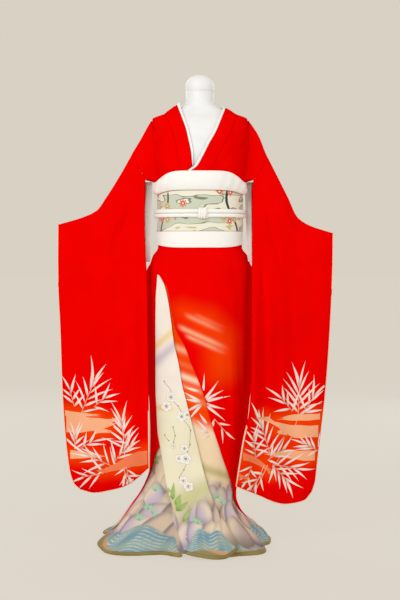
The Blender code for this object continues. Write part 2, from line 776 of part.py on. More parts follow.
def lining_strip_shape(side):
    """The pale lining that shows at the sleeve's open inner edge, narrowing to a point."""
    sign = 1 if side == "left" else -1
    outline = SLEEVE[side]

    def shape(u, v):
        z = STRIP_LOW + (STRIP_TOP - STRIP_LOW) * v
        low, high = 0.0, 1.0
        for _ in range(24):
            middle = (low + high) / 2
            if outline["inner"](middle).y > z:
                low = middle
            else:
                high = middle
        edge = outline["inner"](low)
        width = 0.004 + STRIP_WIDTH * v ** 0.7
        x = edge.x + SLEEVE_SEAM - SEAM_LEAN - width * u
        y = sleeve_middle(side, 0, low, z) + sleeve_half(side, 0, low, edge) - WALL
        return Vector((sign * x, y + 0.006 * u * v, z))

    return shape


# Collar

def collar_paths(side):
    """A place on the collar: in front t runs from the V to the shoulder, behind from the middle to it."""
    sign = 1 if side == "left" else -1
    spots = LEFT_COLLAR if side == "left" else RIGHT_COLLAR
    front_inner = along(spots)
    start = shoulder_start(side)
    top = Vector((sign * 0.0925, ridge(sign * 0.0925)))
    back_inner = along((Spot(0.0, 1.5735), Spot(sign * 0.050, 1.5730), Spot(sign * 0.080, 1.5700), Spot(*top)))

    def place(back, t, across):
        if not back:
            inner = front_inner(t).lerp(top, fade(t, 0.80, 1.0))
            if t >= 1:
                x = top.x + (start.x - top.x) * across
                return Vector((x, 0, ridge(x)))
            spot = inner.lerp(upper_inner(side, t), across)
            return upper_point(spot.x, spot.y, False)
        spot = back_inner(t).lerp(neck_back_spot(side, t), across)
        return upper_point(spot.x, spot.y, True)

    return place


def collar_steps():
    """The collar's rows, from the left V round the back of the neck to the right V."""
    neck = [(share - NECKLINE_SHARE) / (1 - NECKLINE_SHARE) for share in BACK_SHARES if share >= NECKLINE_SHARE]
    half = [(False, t) for t in FRONT_SHARES] + [(True, t) for t in neck[-2::-1]]
    left = [("left", back, t) for back, t in half]
    right = [("right", back, t) for back, t in half]
    return left + right[-2::-1]


COLLAR_PLACE = {side: collar_paths(side) for side in ("left", "right")}
COLLAR_STEPS = collar_steps()


def collar_point(across, v):
    side, back, t = COLLAR_STEPS[round(v * (len(COLLAR_STEPS) - 1))]
    if back and t == 0:
        both = [COLLAR_PLACE[name](True, 0, across) for name in ("left", "right")]
        return (both[0] + both[1]) / 2
    return COLLAR_PLACE[side](back, t, across)


def collar_shape(u, v):
    """u across from the inner edge to the seam, v from the left V round the neck to the right V."""
    return collar_point(u * (1 - SEAM_LEAN / COLLAR_WIDTH), v)


def collar_edge_shape(u, v):
    """The white edge that shows inside the collar."""
    side, back, t = COLLAR_STEPS[round(v * (len(COLLAR_STEPS) - 1))]
    shown = COLLAR_EDGE_SHOWN
    if side == "right" and not back:
        shown = COLLAR_EDGE_GAP + 0.002 + (COLLAR_EDGE_SHOWN - COLLAR_EDGE_GAP - 0.002) * fade(t, 0, 0.30)
    place = COLLAR_EDGE_GAP + (shown - COLLAR_EDGE_GAP) * u
    return collar_point(-place / COLLAR_WIDTH, v)


def build_collar(group, red, white):
    rows = len(COLLAR_STEPS) - 1
    cloth(group, "collar", collar_shape, 3, rows, red)
    cloth(group, "collar_edge", collar_edge_shape, 1, rows, white)


# Sash group

def band_shape(band):
    def shape(u, v):
        phi = -180 + 360 * u
        front = fade(math.cos(math.radians(phi)), 0.25, 0.95)
        low = band.side_low + (band.low - band.side_low) * front
        high = band.side_high + (band.high - band.side_high) * front
        thick = band.back_thick + (band.front_thick - band.back_thick) * front
        turn = (v * 8) % 8
        corner = int(round(turn)) % 8
        across = (0.0, 0.5, 1.0, 1.0, 1.0, 0.5, 0.0, 0.0)[corner]
        deep = (0.0, 0.0, 0.0, 0.5, 1.0, 1.0, 1.0, 0.5)[corner]
        swell = band.bulge * front * (1 if deep == 1.0 and across == 0.5 else 0)
        z = low + (high - low) * across
        return form_point(phi, z, BAND_GAP + thick * deep + swell)

    return shape


def cord_shape(height):
    """A closed cord round the obi and across the back of the drum."""
    def centre(phi):
        return form_point(phi, height, BAND_GAP + OBI_THICK + OBI_BULGE + CORD_CLEAR + CORD_RADIUS)

    def shape(u, v):
        phi = -180 + 360 * u
        here = centre(phi)
        ahead = (centre(phi + 2) - centre(phi - 2)).normalized()
        side = ahead.cross(Vector((0, 0, 1)))
        turn = 2 * math.pi * v
        return here + side * (CORD_RADIUS * math.cos(turn)) + Vector((0, 0, CORD_RADIUS * math.sin(turn)))

    return shape


def drum_shape(u, v):
    """The loop of the sash at the back, open at both sides: v runs round the loop."""
    near = SIZE["back"](1.20) + BAND_GAP + OBI_THICK + 2 * CORD_RADIUS + OBI_BULGE + 0.0008
    far = near + DRUM_DEPTH
    middle = Vector(((near + far) / 2, (DRUM_LOW + DRUM_HIGH) / 2))
    turn = 2 * math.pi * v
    y = middle.x + (far - near) / 2 * power(math.cos(turn), 0.42)
    z = middle.y + (DRUM_HIGH - DRUM_LOW) / 2 * power(math.sin(turn), 0.36)
    x = (u - 0.5) * DRUM_WIDTH
    sag = 0.006 * math.cos(math.pi * (u - 0.5)) * (1 if z > middle.y else 0.4)
    return Vector((x, y, z + sag))


def drum_inside(place):
    near = SIZE["back"](1.20) + BAND_GAP
    return Vector((place.x, near + DRUM_DEPTH / 2, (DRUM_LOW + DRUM_HIGH) / 2))


def build_sash(group, white, painted):
    for band in BANDS:
        material = painted if band.name == "obi" else white
        closed_ring(group, band.name, band_shape(band), 44, 8, material)
    for name, height in CORD_HEIGHTS.items():
        closed_ring(group, name, cord_shape(height), 40, 6, white)
    cloth(group, "obi_drum", drum_shape, 6, 20, painted, inside=drum_inside, wall=DRUM_WALL)
    build_knot(group, white)


def build_knot(group, white):
    """The flat knot of the cord, lying on its two strands in front."""
    height = sum(CORD_HEIGHTS.values()) / 2
    base = form_point(2.5, height, BAND_GAP + OBI_THICK + OBI_BULGE + CORD_CLEAR + 2 * CORD_RADIUS)
    knot = bmesh.new()
    bmesh.ops.create_cube(knot, size=1)
    bmesh.ops.scale(knot, vec=(0.034, 0.009, 0.026), verts=knot.verts)
    bmesh.ops.bevel(knot, geom=knot.edges, offset=0.004, segments=2, profile=0.5, affect="EDGES")
    bmesh.ops.translate(knot, vec=base + Vector((0, -0.0051, 0)), verts=knot.verts)
    add_object(group, "obijime_knot", knot, white)


# Dress form

def form_shape(u, v):
    z = FORM_BOTTOM + (1.592 - FORM_BOTTOM) * (1 - (1 - v) ** 1.5)
    phi = -180 + 360 * u
    clear = FORM_CLEAR + (FORM_CLEAR_WAIST - FORM_CLEAR) * (1 - fade(z, 1.32, 1.42))
    look = min(z + clear, 1.60)
    sine, cosine = math.sin(math.radians(phi)), math.cos(math.radians(phi))
    across = SIZE["right" if sine >= 0 else "left"](look) - clear
    deep = SIZE["front" if cosine >= 0 else "back"](look) - clear
    neck = fade(z, 1.555, 1.59)
    across += (NECK_RADIUS - across) * neck
    deep += (NECK_RADIUS - deep) * neck
    exponent = 2 / (ROUNDNESS + (2 - ROUNDNESS) * neck)
    return Vector((across * power(sine, exponent), -deep * power(cosine, exponent), z))


def build_form(group, white, steel):
    torso = bmesh.new()
    around, levels = 32, 18
    rings = []
    for row in range(levels + 1):
        rings.append([torso.verts.new(form_shape(i / around, row / levels)) for i in range(around)])
    top = [torso.verts.new(Vector((vert.co.x, vert.co.y, NECK_TOP))) for vert in rings[-1]]
    rings.append(top)
    for low, high in zip(rings, rings[1:]):
        for i in range(around):
            j = (i + 1) % around
            torso.faces.new((low[i], low[j], high[j], high[i]))
    torso.faces.new(list(reversed(rings[0])))
    torso.faces.new(rings[-1])
    bmesh.ops.recalc_face_normals(torso, faces=torso.faces)
    add_object(group, "form_torso", torso, white)

    turned = (
        (0.0, CAP_TOP), (0.018, CAP_TOP - 0.002), (0.034, CAP_TOP - 0.009), (0.046, CAP_TOP - 0.022),
        (0.0515, CAP_TOP - 0.040), (0.0515, NECK_TOP + 0.004), (0.049, NECK_TOP + SEAM), (0.0, NECK_TOP + SEAM),
    )
    turned_piece(group, "form_cap", turned, white, 32)
    turned_piece(group, "form_pole", (
        (0.0, FORM_BOTTOM - SEAM), (POLE_RADIUS, FORM_BOTTOM - SEAM),
        (POLE_RADIUS, BASE_HEIGHT + SEAM), (0.0, BASE_HEIGHT + SEAM),
    ), steel, 16)
    turned_piece(group, "form_base", (
        (0.0, BASE_HEIGHT), (BASE_RADIUS - 0.012, BASE_HEIGHT), (BASE_RADIUS - 0.003, BASE_HEIGHT - 0.003),
        (BASE_RADIUS, 0.004), (BASE_RADIUS - 0.002, 0.0), (0.0, 0.0),
    ), steel, 32)


def turned_piece(group, name, profile, material, steps):
    """A profile at +X, from its top to its foot, turned about Z."""
    line = bmesh.new()
    verts = [line.verts.new((radius, 0, z)) for radius, z in profile]
    for here, there in zip(verts, verts[1:]):
        line.edges.new((here, there))
    piece = add_object(group, name, line, material)
    screw = piece.modifiers.new("turn", "SCREW")
    screw.axis = "Z"
    screw.steps = steps
    screw.render_steps = steps
    screw.use_merge_vertices = True
    screw.merge_threshold = 0.0001


def main():
    for piece in list(bpy.data.objects):
        bpy.data.objects.remove(piece, do_unlink=True)
    group = part_collection()
    red = finish_material("red_silk", (0.80, 0.006, 0.004), 0.62)
    painted = finish_material("painted_silk", (0.72, 0.62, 0.47), 0.62)
    lining = finish_material("pale_lining", (0.86, 0.82, 0.70), 0.60)
    roll = finish_material("olive_hem", (0.23, 0.19, 0.10), 0.65)
    white = finish_material("white_sash", (0.86, 0.85, 0.83), 0.60)
    obi = finish_material("obi_brocade", (0.58, 0.60, 0.50), 0.50)
    form = finish_material("white_form", (0.85, 0.85, 0.86), 0.45)
    steel = finish_material("painted_stand", (0.75, 0.75, 0.76), 0.40)
    build_form(group, form, steel)
    build_body(group, red)
    build_skirt_panels(group, painted, lining, roll)
    build_sleeves(group, red, lining)
    build_collar(group, red, white)
    build_sash(group, white, obi)


main()
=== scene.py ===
# %% [markdown]
# # A trailing kimono on its form
#
# The real object is a long-sleeved silk kimono with a padded hem, dressed on a smooth form and
# tied with a wide sash. Each sewn piece is a thin shell here, laid on the same form that the
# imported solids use, with finer folds, and painted by its own coordinates.

import math
from collections import namedtuple

import bmesh
import bpy
import numpy as np
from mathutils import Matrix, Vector
from mathutils.bvhtree import BVHTree


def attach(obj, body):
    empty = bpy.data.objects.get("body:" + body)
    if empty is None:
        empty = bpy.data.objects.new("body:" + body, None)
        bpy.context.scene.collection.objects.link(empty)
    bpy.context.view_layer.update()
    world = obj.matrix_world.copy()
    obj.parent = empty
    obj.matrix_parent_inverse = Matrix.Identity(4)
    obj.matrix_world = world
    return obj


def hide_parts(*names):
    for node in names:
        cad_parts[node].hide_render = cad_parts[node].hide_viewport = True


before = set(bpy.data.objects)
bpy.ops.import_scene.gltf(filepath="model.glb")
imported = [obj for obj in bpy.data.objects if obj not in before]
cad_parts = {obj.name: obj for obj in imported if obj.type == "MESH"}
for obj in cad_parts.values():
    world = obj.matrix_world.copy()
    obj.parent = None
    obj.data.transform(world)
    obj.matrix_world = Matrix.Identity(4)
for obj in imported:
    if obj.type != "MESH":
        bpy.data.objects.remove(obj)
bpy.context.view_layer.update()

# %% [markdown]
# ## The form under the cloth
#
# A kimono hangs from the shoulders, is tied in at the waist and spreads over the floor. A table
# of half sizes at each height says all of that, and one smooth function reads it. Every cloth
# piece below takes its place from this form, so that the pieces meet at their seams.

# %% A smooth reading of a table
def smooth_column(keys, values):
    order = np.argsort(keys)
    x, y = np.array(keys, float)[order], np.array(values, float)[order]
    step = np.diff(x)
    rise = np.diff(y) / step
    slope = np.empty_like(y)
    slope[0], slope[-1] = rise[0], rise[-1]
    same = rise[:-1] * rise[1:] > 0
    slope[1:-1] = np.where(same, 2 * rise[:-1] * rise[1:] / np.where(same, rise[:-1] + rise[1:], 1), 0)

    def at(value):
        value = np.clip(np.asarray(value, float), x[0], x[-1])
        i = np.clip(np.searchsorted(x, value) - 1, 0, len(step) - 1)
        t = (value - x[i]) / step[i]
        return (
            y[i] * (1 + 2 * t) * (1 - t) ** 2 + y[i + 1] * t * t * (3 - 2 * t)
            + step[i] * (slope[i] * t * (1 - t) ** 2 - slope[i + 1] * t * t * (1 - t))
        )

    return at


def fade(value, low, high):
    t = np.clip((np.asarray(value, float) - low) / (high - low), 0, 1)
    return t * t * (3 - 2 * t)


def bell(value, centre, width):
    """1 at the centre, falling away smoothly on both sides."""
    return np.exp(-(((value - centre) / width) ** 2))


def mm(rows):
    """Nested rows of millimetres as metres."""
    return tuple(mm(row) if isinstance(row, tuple) else row / 1000 for row in rows)


def table(rows):
    """A smooth column through rows (key, value) in millimetres."""
    return smooth_column(*np.array(rows).T / 1000)


def points(x, y, z):
    return np.stack(np.broadcast_arrays(x, y, z), axis=-1)


# %% Half sizes at each height
ROUNDNESS = 2.3
# Height, then half sizes to the picture's left and right, in front and behind, in millimetres
SECTIONS = (
    (0, 392, 262, 262, 420), (40, 328, 236, 238, 330), (83, 292, 176, 208, 275), (126, 262, 142, 186, 240),
    (169, 231, 129, 172, 215), (212, 208, 131, 163, 200), (280, 186, 146, 157, 190), (400, 184, 165, 152, 180),
    (600, 190, 183, 150, 172), (800, 195, 190, 150, 170), (980, 190, 186, 146, 160), (1040, 176, 171, 139, 146),
    (1070, 156, 151, 130, 130), (1200, 150, 150, 122, 120), (1300, 152, 152, 124, 120), (1380, 162, 162, 126, 120),
    (1460, 170, 170, 116, 112), (1510, 173, 172, 100, 100), (1530, 172, 170, 88, 88), (1552, 120, 120, 70, 70),
    (1573, 91, 91, 61, 61), (1600, 70, 70, 56, 56),
)
SIZE = {
    name: table([(row[0], row[i]) for row in SECTIONS])
    for i, name in enumerate(("left", "right", "front", "back"), 1)
}
# Folds of the skirt: direction and width in degrees, depths at the hip and at the hem in millimetres
FOLDS = (
    (-122, 11, 4, 20), (-97, 8, -4, -10), (-48, 16, 0, 30), (-22, 10, 0, -45), (50, 13, 3, 24), (76, 11, -4, -20),
    (95, 9, 3, 6), (114, 9, -4, -14), (133, 10, 6, 20), (153, 10, -5, -18), (173, 10, 5, 22), (-167, 10, -4, -18),
    (-146, 10, 5, 20),
)
# Narrow creases that only the finer cloth has, with the same columns
CREASES = (
    (64, 4, -1.6, -4), (86, 3.5, 1.4, 4), (104, 4, -1.8, -5), (123, 4.5, 1.6, 5), (143, 4, -1.8, -6),
    (163, 4.5, 1.6, 6), (-178, 4, -1.4, -5), (-157, 4.5, 1.8, 6), (-134, 4, -1.6, -5), (-110, 4, 1.4, 4),
    (30, 5, -1, -3), (12, 6, 0.8, 2),
)
FOLD_TOP, HIP_LOW, HEM_FOLDS_TOP = 1.00, 0.86, 0.42
PROBE_TURN, PROBE_RISE = 1.5, 0.006
print("folds", len(FOLDS), "and narrow creases", len(CREASES))

# %% [markdown]
# A place on the cloth follows from a direction in degrees, a height and a distance. The folds
# push the surface out from the middle or pull it in, and a layer lies off it by the distance.

# %% Places round the form
def fold_depth(phi, z):
    down = 1 - fade(z, 0.0, HEM_FOLDS_TOP)
    hip = (1 - fade(z, HIP_LOW, FOLD_TOP)) * (1 - down)
    total = 0
    for heading, width, at_hip, at_hem in FOLDS + CREASES:
        away = (phi - heading + 180) % 360 - 180
        total = total + (at_hip * hip + at_hem * down ** 1.6) * bell(away, 0, width)
    return total / 1000


def power(value, exponent):
    return np.sign(value) * np.abs(value) ** exponent


def half_width(x, z):
    return np.where(x >= 0, SIZE["right"](z), SIZE["left"](z))


def half_reach(cosine, z):
    return np.where(cosine >= 0, SIZE["front"](z), SIZE["back"](z))


def plain_point(phi, z):
    phi, z = np.broadcast_arrays(np.asarray(phi, float), np.asarray(z, float))
    sine, cosine = np.sin(np.radians(phi)), np.cos(np.radians(phi))
    x = half_width(sine, z) * power(sine, 2 / ROUNDNESS)
    y = -half_reach(cosine, z) * power(cosine, 2 / ROUNDNESS)
    grow = 1 + fold_depth(phi, z) / np.hypot(x, y)
    return points(x * grow, y * grow, z)


def unit(vectors):
    return vectors / np.linalg.norm(vectors, axis=-1, keepdims=True)


def form_point(phi, z, out=0.0):
    """A point of the folded surface, moved out at right angles to it by a distance."""
    across = plain_point(phi + PROBE_TURN, z) - plain_point(phi - PROBE_TURN, z)
    low = np.maximum(z - PROBE_RISE, 0.0)
    up = plain_point(phi, low + 2 * PROBE_RISE) - plain_point(phi, low)
    return plain_point(phi, z) + unit(np.cross(across, up)) * np.asarray(out)[..., None]


def halved(low, high, still_low, steps):
    """The place where still_low(place) stops being true, found by halving."""
    for _ in range(steps):
        middle = (low + high) / 2
        short = still_low(middle)
        low, high = np.where(short, middle, low), np.where(short, high, middle)
    return (low + high) / 2


def front_angle(x, z):
    """The direction in which the front has this x at the height z."""
    widest = np.full_like(z, 88.0)
    return halved(-widest, widest, lambda phi: plain_point(phi, z)[..., 0] < x, steps=18)


print("waist", round(float(2 * SIZE["left"](1.2)), 3), "m wide")
print("hem", round(float(SIZE["left"](0) + SIZE["right"](0)), 3), "m wide")

# %% [markdown]
# ## The shoulder line and the arms
#
# Front and back of the upper body are two soft halves that meet on the line of the shoulder and
# arm. Half the distance between them comes from the form's section, and never falls under the
# thickness of an empty sleeve.

# %% Upper body
ARM_START = 0.173
ARM = {
    "right": table(((173, 1529), (190, 1500), (212, 1460), (238, 1417), (259, 1379), (281, 1340), (310, 1295),
                    (340, 1246))),
    "left": table(((173, 1527), (190, 1504), (212, 1468), (238, 1404), (259, 1362), (281, 1320), (310, 1260),
                   (340, 1208))),
}
SLEEVE_GAP, SLEEVE_GAP_REACH = 0.018, 0.12
BACK_STAND, BACK_STAND_WIDTH = 0.030, 0.085


def ridge(x):
    """The height of the line on which front and back meet."""
    x = np.asarray(x, float)
    away = np.abs(x)
    low, high = np.full_like(away, 1.51), np.full_like(away, 1.60)
    shoulder = halved(low, high, lambda z: half_width(x, z) > away, steps=24)
    arm = np.where(x >= 0, ARM["left"](away), ARM["right"](away))
    return np.where(away >= ARM_START, arm, shoulder)


def half_depth(x, z, back=False):
    t = np.minimum(np.abs(x) / half_width(x, z), 1)
    body = SIZE["back" if back else "front"](z) * (1 - t ** ROUNDNESS) ** (1 / ROUNDNESS)
    below = np.maximum(ridge(x) - z, 0)
    free = SLEEVE_GAP * np.sqrt(np.minimum(below / SLEEVE_GAP_REACH, 1))
    total = (body ** 4 + free ** 4) ** 0.25
    if back:
        total = total + BACK_STAND * bell(x, 0, BACK_STAND_WIDTH) * fade(z, 1.38, 1.53)
    return total


def upper_point(x, z, back=False, out=0.0):
    depth = half_depth(x, z, back)
    place = points(x, depth if back else -depth, z)
    reach = 0.004
    slope_x = (half_depth(x + reach, z, back) - half_depth(x - reach, z, back)) / (2 * reach)
    slope_z = (half_depth(x, z + reach, back) - half_depth(x, z - reach, back)) / (2 * reach)
    normal = unit(points(-slope_x, np.full_like(slope_x, 1.0 if back else -1.0), -slope_z))
    return place + normal * np.asarray(out)[..., None]


def along(spots):
    """A smooth path through spots (x, z), by its share of length, as an array of places."""
    places = np.array(spots, float)
    length = np.concatenate([[0], np.cumsum(np.linalg.norm(np.diff(places, axis=0), axis=1))])
    path_x, path_z = smooth_column(length, places[:, 0]), smooth_column(length, places[:, 1])
    return lambda share: np.stack([path_x(share * length[-1]), path_z(share * length[-1])], axis=-1)


# %% [markdown]
# ## Cloth from a grid
#
# bmesh.ops.create_grid makes a flat sheet of faces. Its points are then put in place by a
# function of the two shares across and along the cloth. The shares and the sizes stay on the
# mesh as a UV map, so a weave follows the cloth however it hangs.

# %% Cloth helper
PIECES = []
SILK_WALL, MERGE = 0.0012, 0.00001


def paint(piece, painter):
    """Stores painter(x, y, z) as the mesh's paint attribute."""
    mesh = piece.data
    places = np.empty(len(mesh.vertices) * 3)
    mesh.vertices.foreach_get("co", places)
    colours = np.clip(painter(*places.reshape(-1, 3).T), 0, 1)
    layer = mesh.color_attributes.new("paint", "FLOAT_COLOR", "POINT")
    layer.data.foreach_set("color", np.hstack([colours, np.ones((len(colours), 1))]).ravel())


def mesh_piece(name, made, material, node=None, wall=0.0, painter=None):
    """An object from a finished mesh, with its wall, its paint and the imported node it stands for."""
    mesh = bpy.data.meshes.new(name)
    made.to_mesh(mesh)
    made.free()
    mesh.materials.append(material)
    mesh.shade_smooth()
    piece = bpy.data.objects.new(name, mesh)
    bpy.context.scene.collection.objects.link(piece)
    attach(piece, "root")
    if node:
        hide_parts(node)
    if wall:
        solid = piece.modifiers.new("wall", "SOLIDIFY")
        solid.thickness, solid.offset = wall, -1
    if painter:
        paint(piece, painter)
    PIECES.append(piece)
    return piece


# %% [markdown]
# Every cloth is one grid of faces, put in place point by point. The side that looks out is the
# one that shows.

# %% Cloth grids
def cloth_grid(shape, cells, size, round_uv=False):
    """A shaped grid with shares kept on its points and a UV map in metres."""
    grid = bmesh.new()
    bmesh.ops.create_grid(grid, x_segments=cells[0], y_segments=cells[1], size=0.5)
    share_u = grid.verts.layers.float.new("share_u")
    share_v = grid.verts.layers.float.new("share_v")
    flat = np.clip(np.array([vert.co[:2] for vert in grid.verts]) + 0.5, 0, 1)
    uv = grid.loops.layers.uv.new("cloth")
    for vert, (u, v), place in zip(grid.verts, flat, shape(flat[:, 0], flat[:, 1])):
        vert.co = place
        vert[share_u], vert[share_v] = u, v
    for face in grid.faces:
        for loop in face.loops:
            down = loop.vert.co.z if round_uv else loop.vert[share_v] * size[1]
            loop[uv].uv = (loop.vert[share_u] * size[0], down)
    bmesh.ops.remove_doubles(grid, verts=grid.verts, dist=MERGE)
    return grid


def face_from(grid, inside):
    """Turns every face away from the points that inside(places) gives."""
    grid.normal_update()
    middles = np.array([face.calc_center_median() for face in grid.faces])
    normals = np.array([face.normal * face.calc_area() for face in grid.faces])
    if ((middles - inside(middles)) * normals).sum() < 0:
        bmesh.ops.reverse_faces(grid, faces=grid.faces)


def axis_of(places):
    return places * np.array([0, 0, 1.0])


def far_behind(places):
    return places * np.array([1, 0, 1.0]) + np.array([0, 1.0, 0])


def add_cloth(name, shape, cells, size, material, node, painter=None, wall=SILK_WALL, inside=axis_of):
    """A thin cloth from a grid, with its faces turned away from the places that inside gives."""
    grid = cloth_grid(shape, cells, size)
    face_from(grid, inside)
    return mesh_piece(name, grid, material, node, wall, painter)


def add_ring(name, shape, cells, size, material, node=None, round_uv=False):
    """A closed ring or tube from a grid whose edges meet."""
    grid = cloth_grid(shape, cells, size, round_uv)
    bmesh.ops.recalc_face_normals(grid, faces=grid.faces)
    return mesh_piece(name, grid, material, node)


def refined(rows, times):
    """The same row positions with more rows between them."""
    count = (len(rows) - 1) * times
    return np.interp(np.linspace(0, len(rows) - 1, count + 1), np.arange(len(rows)), rows)


# %% [markdown]
# ## Shader maths as expressions
#
# A small class wraps one socket, so that a mask can be written as it is read aloud. Numbers go
# through Math nodes, and colours and vectors through Mix and Vector Math.

# %% Socket class
class Socket:
    def __init__(self, tree, socket):
        self.tree, self.socket = tree, socket

    def node(self, kind, settings=None, out=0, **inputs):
        made = self.tree.nodes.new(kind)
        for key, value in (settings or {}).items():
            setattr(made, key, value)
        for key, value in inputs.items():
            target = made.inputs[int(key[1:])] if key[1:].isdigit() else made.inputs[key.replace("_", " ")]
            if isinstance(value, Socket):
                self.tree.links.new(value.socket, target)
            else:
                target.default_value = value
        return Socket(self.tree, made.outputs[out])

    def output(self, index):
        """Another output of the same node."""
        return Socket(self.tree, self.socket.node.outputs[index])

    def math(self, operation, other=0.0, third=0.0):
        return self.node("ShaderNodeMath", {"operation": operation}, i0=self, i1=other, i2=third)

    def __add__(self, other):
        return self.math("ADD", other)

    def __sub__(self, other):
        return self.math("SUBTRACT", other)

    def __rsub__(self, other):
        return self.node("ShaderNodeMath", {"operation": "SUBTRACT"}, i0=other, i1=self)

    def __mul__(self, other):
        return self.math("MULTIPLY", other)

    def step(self, low, high):
        return self.node(
            "ShaderNodeMapRange", {"interpolation_type": "SMOOTHSTEP"}, i0=self, i1=low, i2=high, i3=0.0, i4=1.0)

    def blend(self, first, second):
        """The first colour where this mask is 0 and the second where it is 1."""
        return self.node("ShaderNodeMix", {"data_type": "RGBA"}, out=2, i0=self, i6=first, i7=second)


def new_material(name, **settings):
    """A Principled material, its shader, and a starting socket for expressions."""
    material = bpy.data.materials.new(name)
    material.use_nodes = True
    tree = material.node_tree
    shader = tree.nodes["Principled BSDF"]
    for key, value in settings.items():
        shader.inputs[key.replace("_", " ")].default_value = value
    return material, shader, Socket(tree, None)


def connect(start, value, shader, name):
    start.tree.links.new(value.socket, shader.inputs[name])


# %% [markdown]
# ## Silk
#
# Silk crepe is matt with a fine grain of twisted threads. The paint on it is soft, so each
# cloth carries its colours as an attribute on its points, and the material adds the grain and
# the slight unevenness of dye, as soft random patches of a little deeper colour.

# %% Silk material
GRAIN_BUMP, THREAD_ROUGHNESS = 0.0004, 0.12


def silk(name, plain=None, grain=0.10, rough=0.62, thread=2600.0, tint=0.05, gloss=0.10):
    """Crepe silk, in one plain colour or in the colours of the paint attribute."""
    material, shader, start = new_material(name, Specular_IOR_Level=gloss)
    uv = start.node("ShaderNodeUVMap", {"uv_map": "cloth"})
    place = start.node("ShaderNodeTexCoord", out=3)
    if plain is None:
        colour = start.node("ShaderNodeVertexColor", {"layer_name": "paint"})
    else:
        colour = start.node("ShaderNodeRGB")
        colour.socket.default_value = (*plain, 1)
    cloud = start.node("ShaderNodeTexNoise", Vector=place, Scale=9.0, Detail=3.0)
    deep = start.node("ShaderNodeMix", {"data_type": "RGBA", "blend_type": "MULTIPLY"}, out=2,
                      i0=1.0, i6=colour, i7=(1 - tint, 1 - tint * 1.5, 1 - tint * 1.5, 1))
    dyed = cloud.step(0.35, 0.65).blend(colour, deep)
    warp = start.node("ShaderNodeTexNoise", Vector=uv, Scale=thread, Detail=1.0)
    crepe = start.node("ShaderNodeTexVoronoi", {"feature": "F1"}, Vector=uv, Scale=thread * 0.45)
    height = warp * 0.5 + crepe * 0.8
    bump = start.node("ShaderNodeBump", Height=height, Strength=grain, Distance=GRAIN_BUMP)
    connect(start, dyed, shader, "Base Color")
    connect(start, warp * THREAD_ROUGHNESS + (rough - THREAD_ROUGHNESS / 2), shader, "Roughness")
    connect(start, bump, shader, "Normal")
    return material


def srgb(red, green, blue):
    """Colour numbers of 0 to 255 as a picture has them, made linear."""
    return tuple(((c / 255 + 0.055) / 1.055) ** 2.4 if c > 10 else c / 255 / 12.92 for c in (red, green, blue))


RED, ORANGE, SALMON, PEACH = srgb(238, 2, 0), srgb(250, 70, 4), srgb(245, 128, 84), srgb(250, 178, 136)
BLOSSOM, LEAF_WHITE, LINING = srgb(250, 246, 238), srgb(252, 226, 218), srgb(250, 247, 242)
painted_silk = silk("painted_silk_crepe", gloss=0.0)
lining_silk = silk("lining_silk", LINING, grain=0.04, rough=0.50, tint=0.03)
print("silks", painted_silk.name, lining_silk.name)

# %% [markdown]
# ## Paint
#
# The dyer's mist bands have a clear edge and a soft glow round them. Each is a brush stroke: a
# path with a width at every point. A stroke's mask is worked out from the distance to its path.

# %% Brush strokes
def beside(x, z, ax, az, bx, bz):
    """The share along the line from a to b that lies nearest each place, and the distance to it."""
    run = np.array([bx - ax, bz - az])
    t = np.clip(((x - ax) * run[0] + (z - az) * run[1]) / (run @ run), 0, 1)
    return t, np.hypot(x - ax - t * run[0], z - az - t * run[1])


def stroke_mask(x, z, path, soft):
    """1 inside a stroke of points (x, z, half width), falling to 0 over the soft distance."""
    best = np.zeros_like(x)
    for (ax, az, aw), (bx, bz, bw) in zip(path, path[1:]):
        t, gap = beside(x, z, ax, az, bx, bz)
        width = aw + (bw - aw) * t
        best = np.maximum(best, 1 - fade(gap, width - soft / 2, width + soft / 2))
    return best


def one_colour(x, tone):
    """One colour for every place in x."""
    return np.tile(np.array(tone), (len(x), 1))


def wash(colour, tone, mask):
    """The colour with a tone, or other colours, laid over it where the mask is 1."""
    return colour + (np.array(tone) - colour) * mask[:, None]


# The mist of each sleeve: colour, then places (distance from the middle, height, half width) in millimetres
MIST_ROWS = {
    "right": (
        (PEACH, ((482, 440, 34), (400, 437, 28), (345, 440, 18), (285, 458, 4))),
        (PEACH, ((380, 415, 12), (322, 413, 4))),
        (PEACH, ((487, 475, 10), (370, 469, 3))),
        (PEACH, ((468, 325, 15), (420, 326, 12), (350, 322, 4))),
        (SALMON, ((355, 268, 6), (300, 288, 15), (240, 314, 22), (186, 330, 26))),
    ),
    "left": (
        (PEACH, ((289, 462, 3), (320, 462.5, 10), (432, 462.5, 12))),
        (PEACH, ((224.5, 471, 3), (262, 450, 7), (300, 428, 15), (340, 412.5, 21),
                 (426, 410, 23))),
        (PEACH, ((275, 416, 4), (310, 413, 14))),
        (PEACH, ((246, 341, 3), (285, 334, 9), (340, 327, 16), (414, 322, 18))),
        (SALMON, ((150, 340, 14), (185, 325, 13), (221, 300, 9), (257, 268, 3))),
        (SALMON, ((137, 270, 8), (170, 258, 5))),
    ),
}
MIST = {side: [(tone, mm(path)) for tone, path in strokes] for side, strokes in MIST_ROWS.items()}
GLOW_WIDER, GLOW_SOFT, GLOW_STRENGTH = 0.020, 0.055, 0.75


def sleeve_painter(side):
    def painter(x, y, z):
        colour = one_colour(x, RED)
        for _tone, path in MIST[side]:
            wide = [(px, pz, half + GLOW_WIDER) for px, pz, half in path]
            colour = wash(colour, ORANGE, GLOW_STRENGTH * stroke_mask(np.abs(x), z, wide, GLOW_SOFT))
        return colour

    return painter


print("mist strokes", sum(len(strokes) for strokes in MIST.values()))

# %% [markdown]
# ## The two body lengths
#
# A kimono's body is one long width of silk on each side: it runs from the front hem over the
# shoulder to the back hem, with no seam at the shoulder. Here each side is one grid, denser than
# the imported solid, on the same edges.

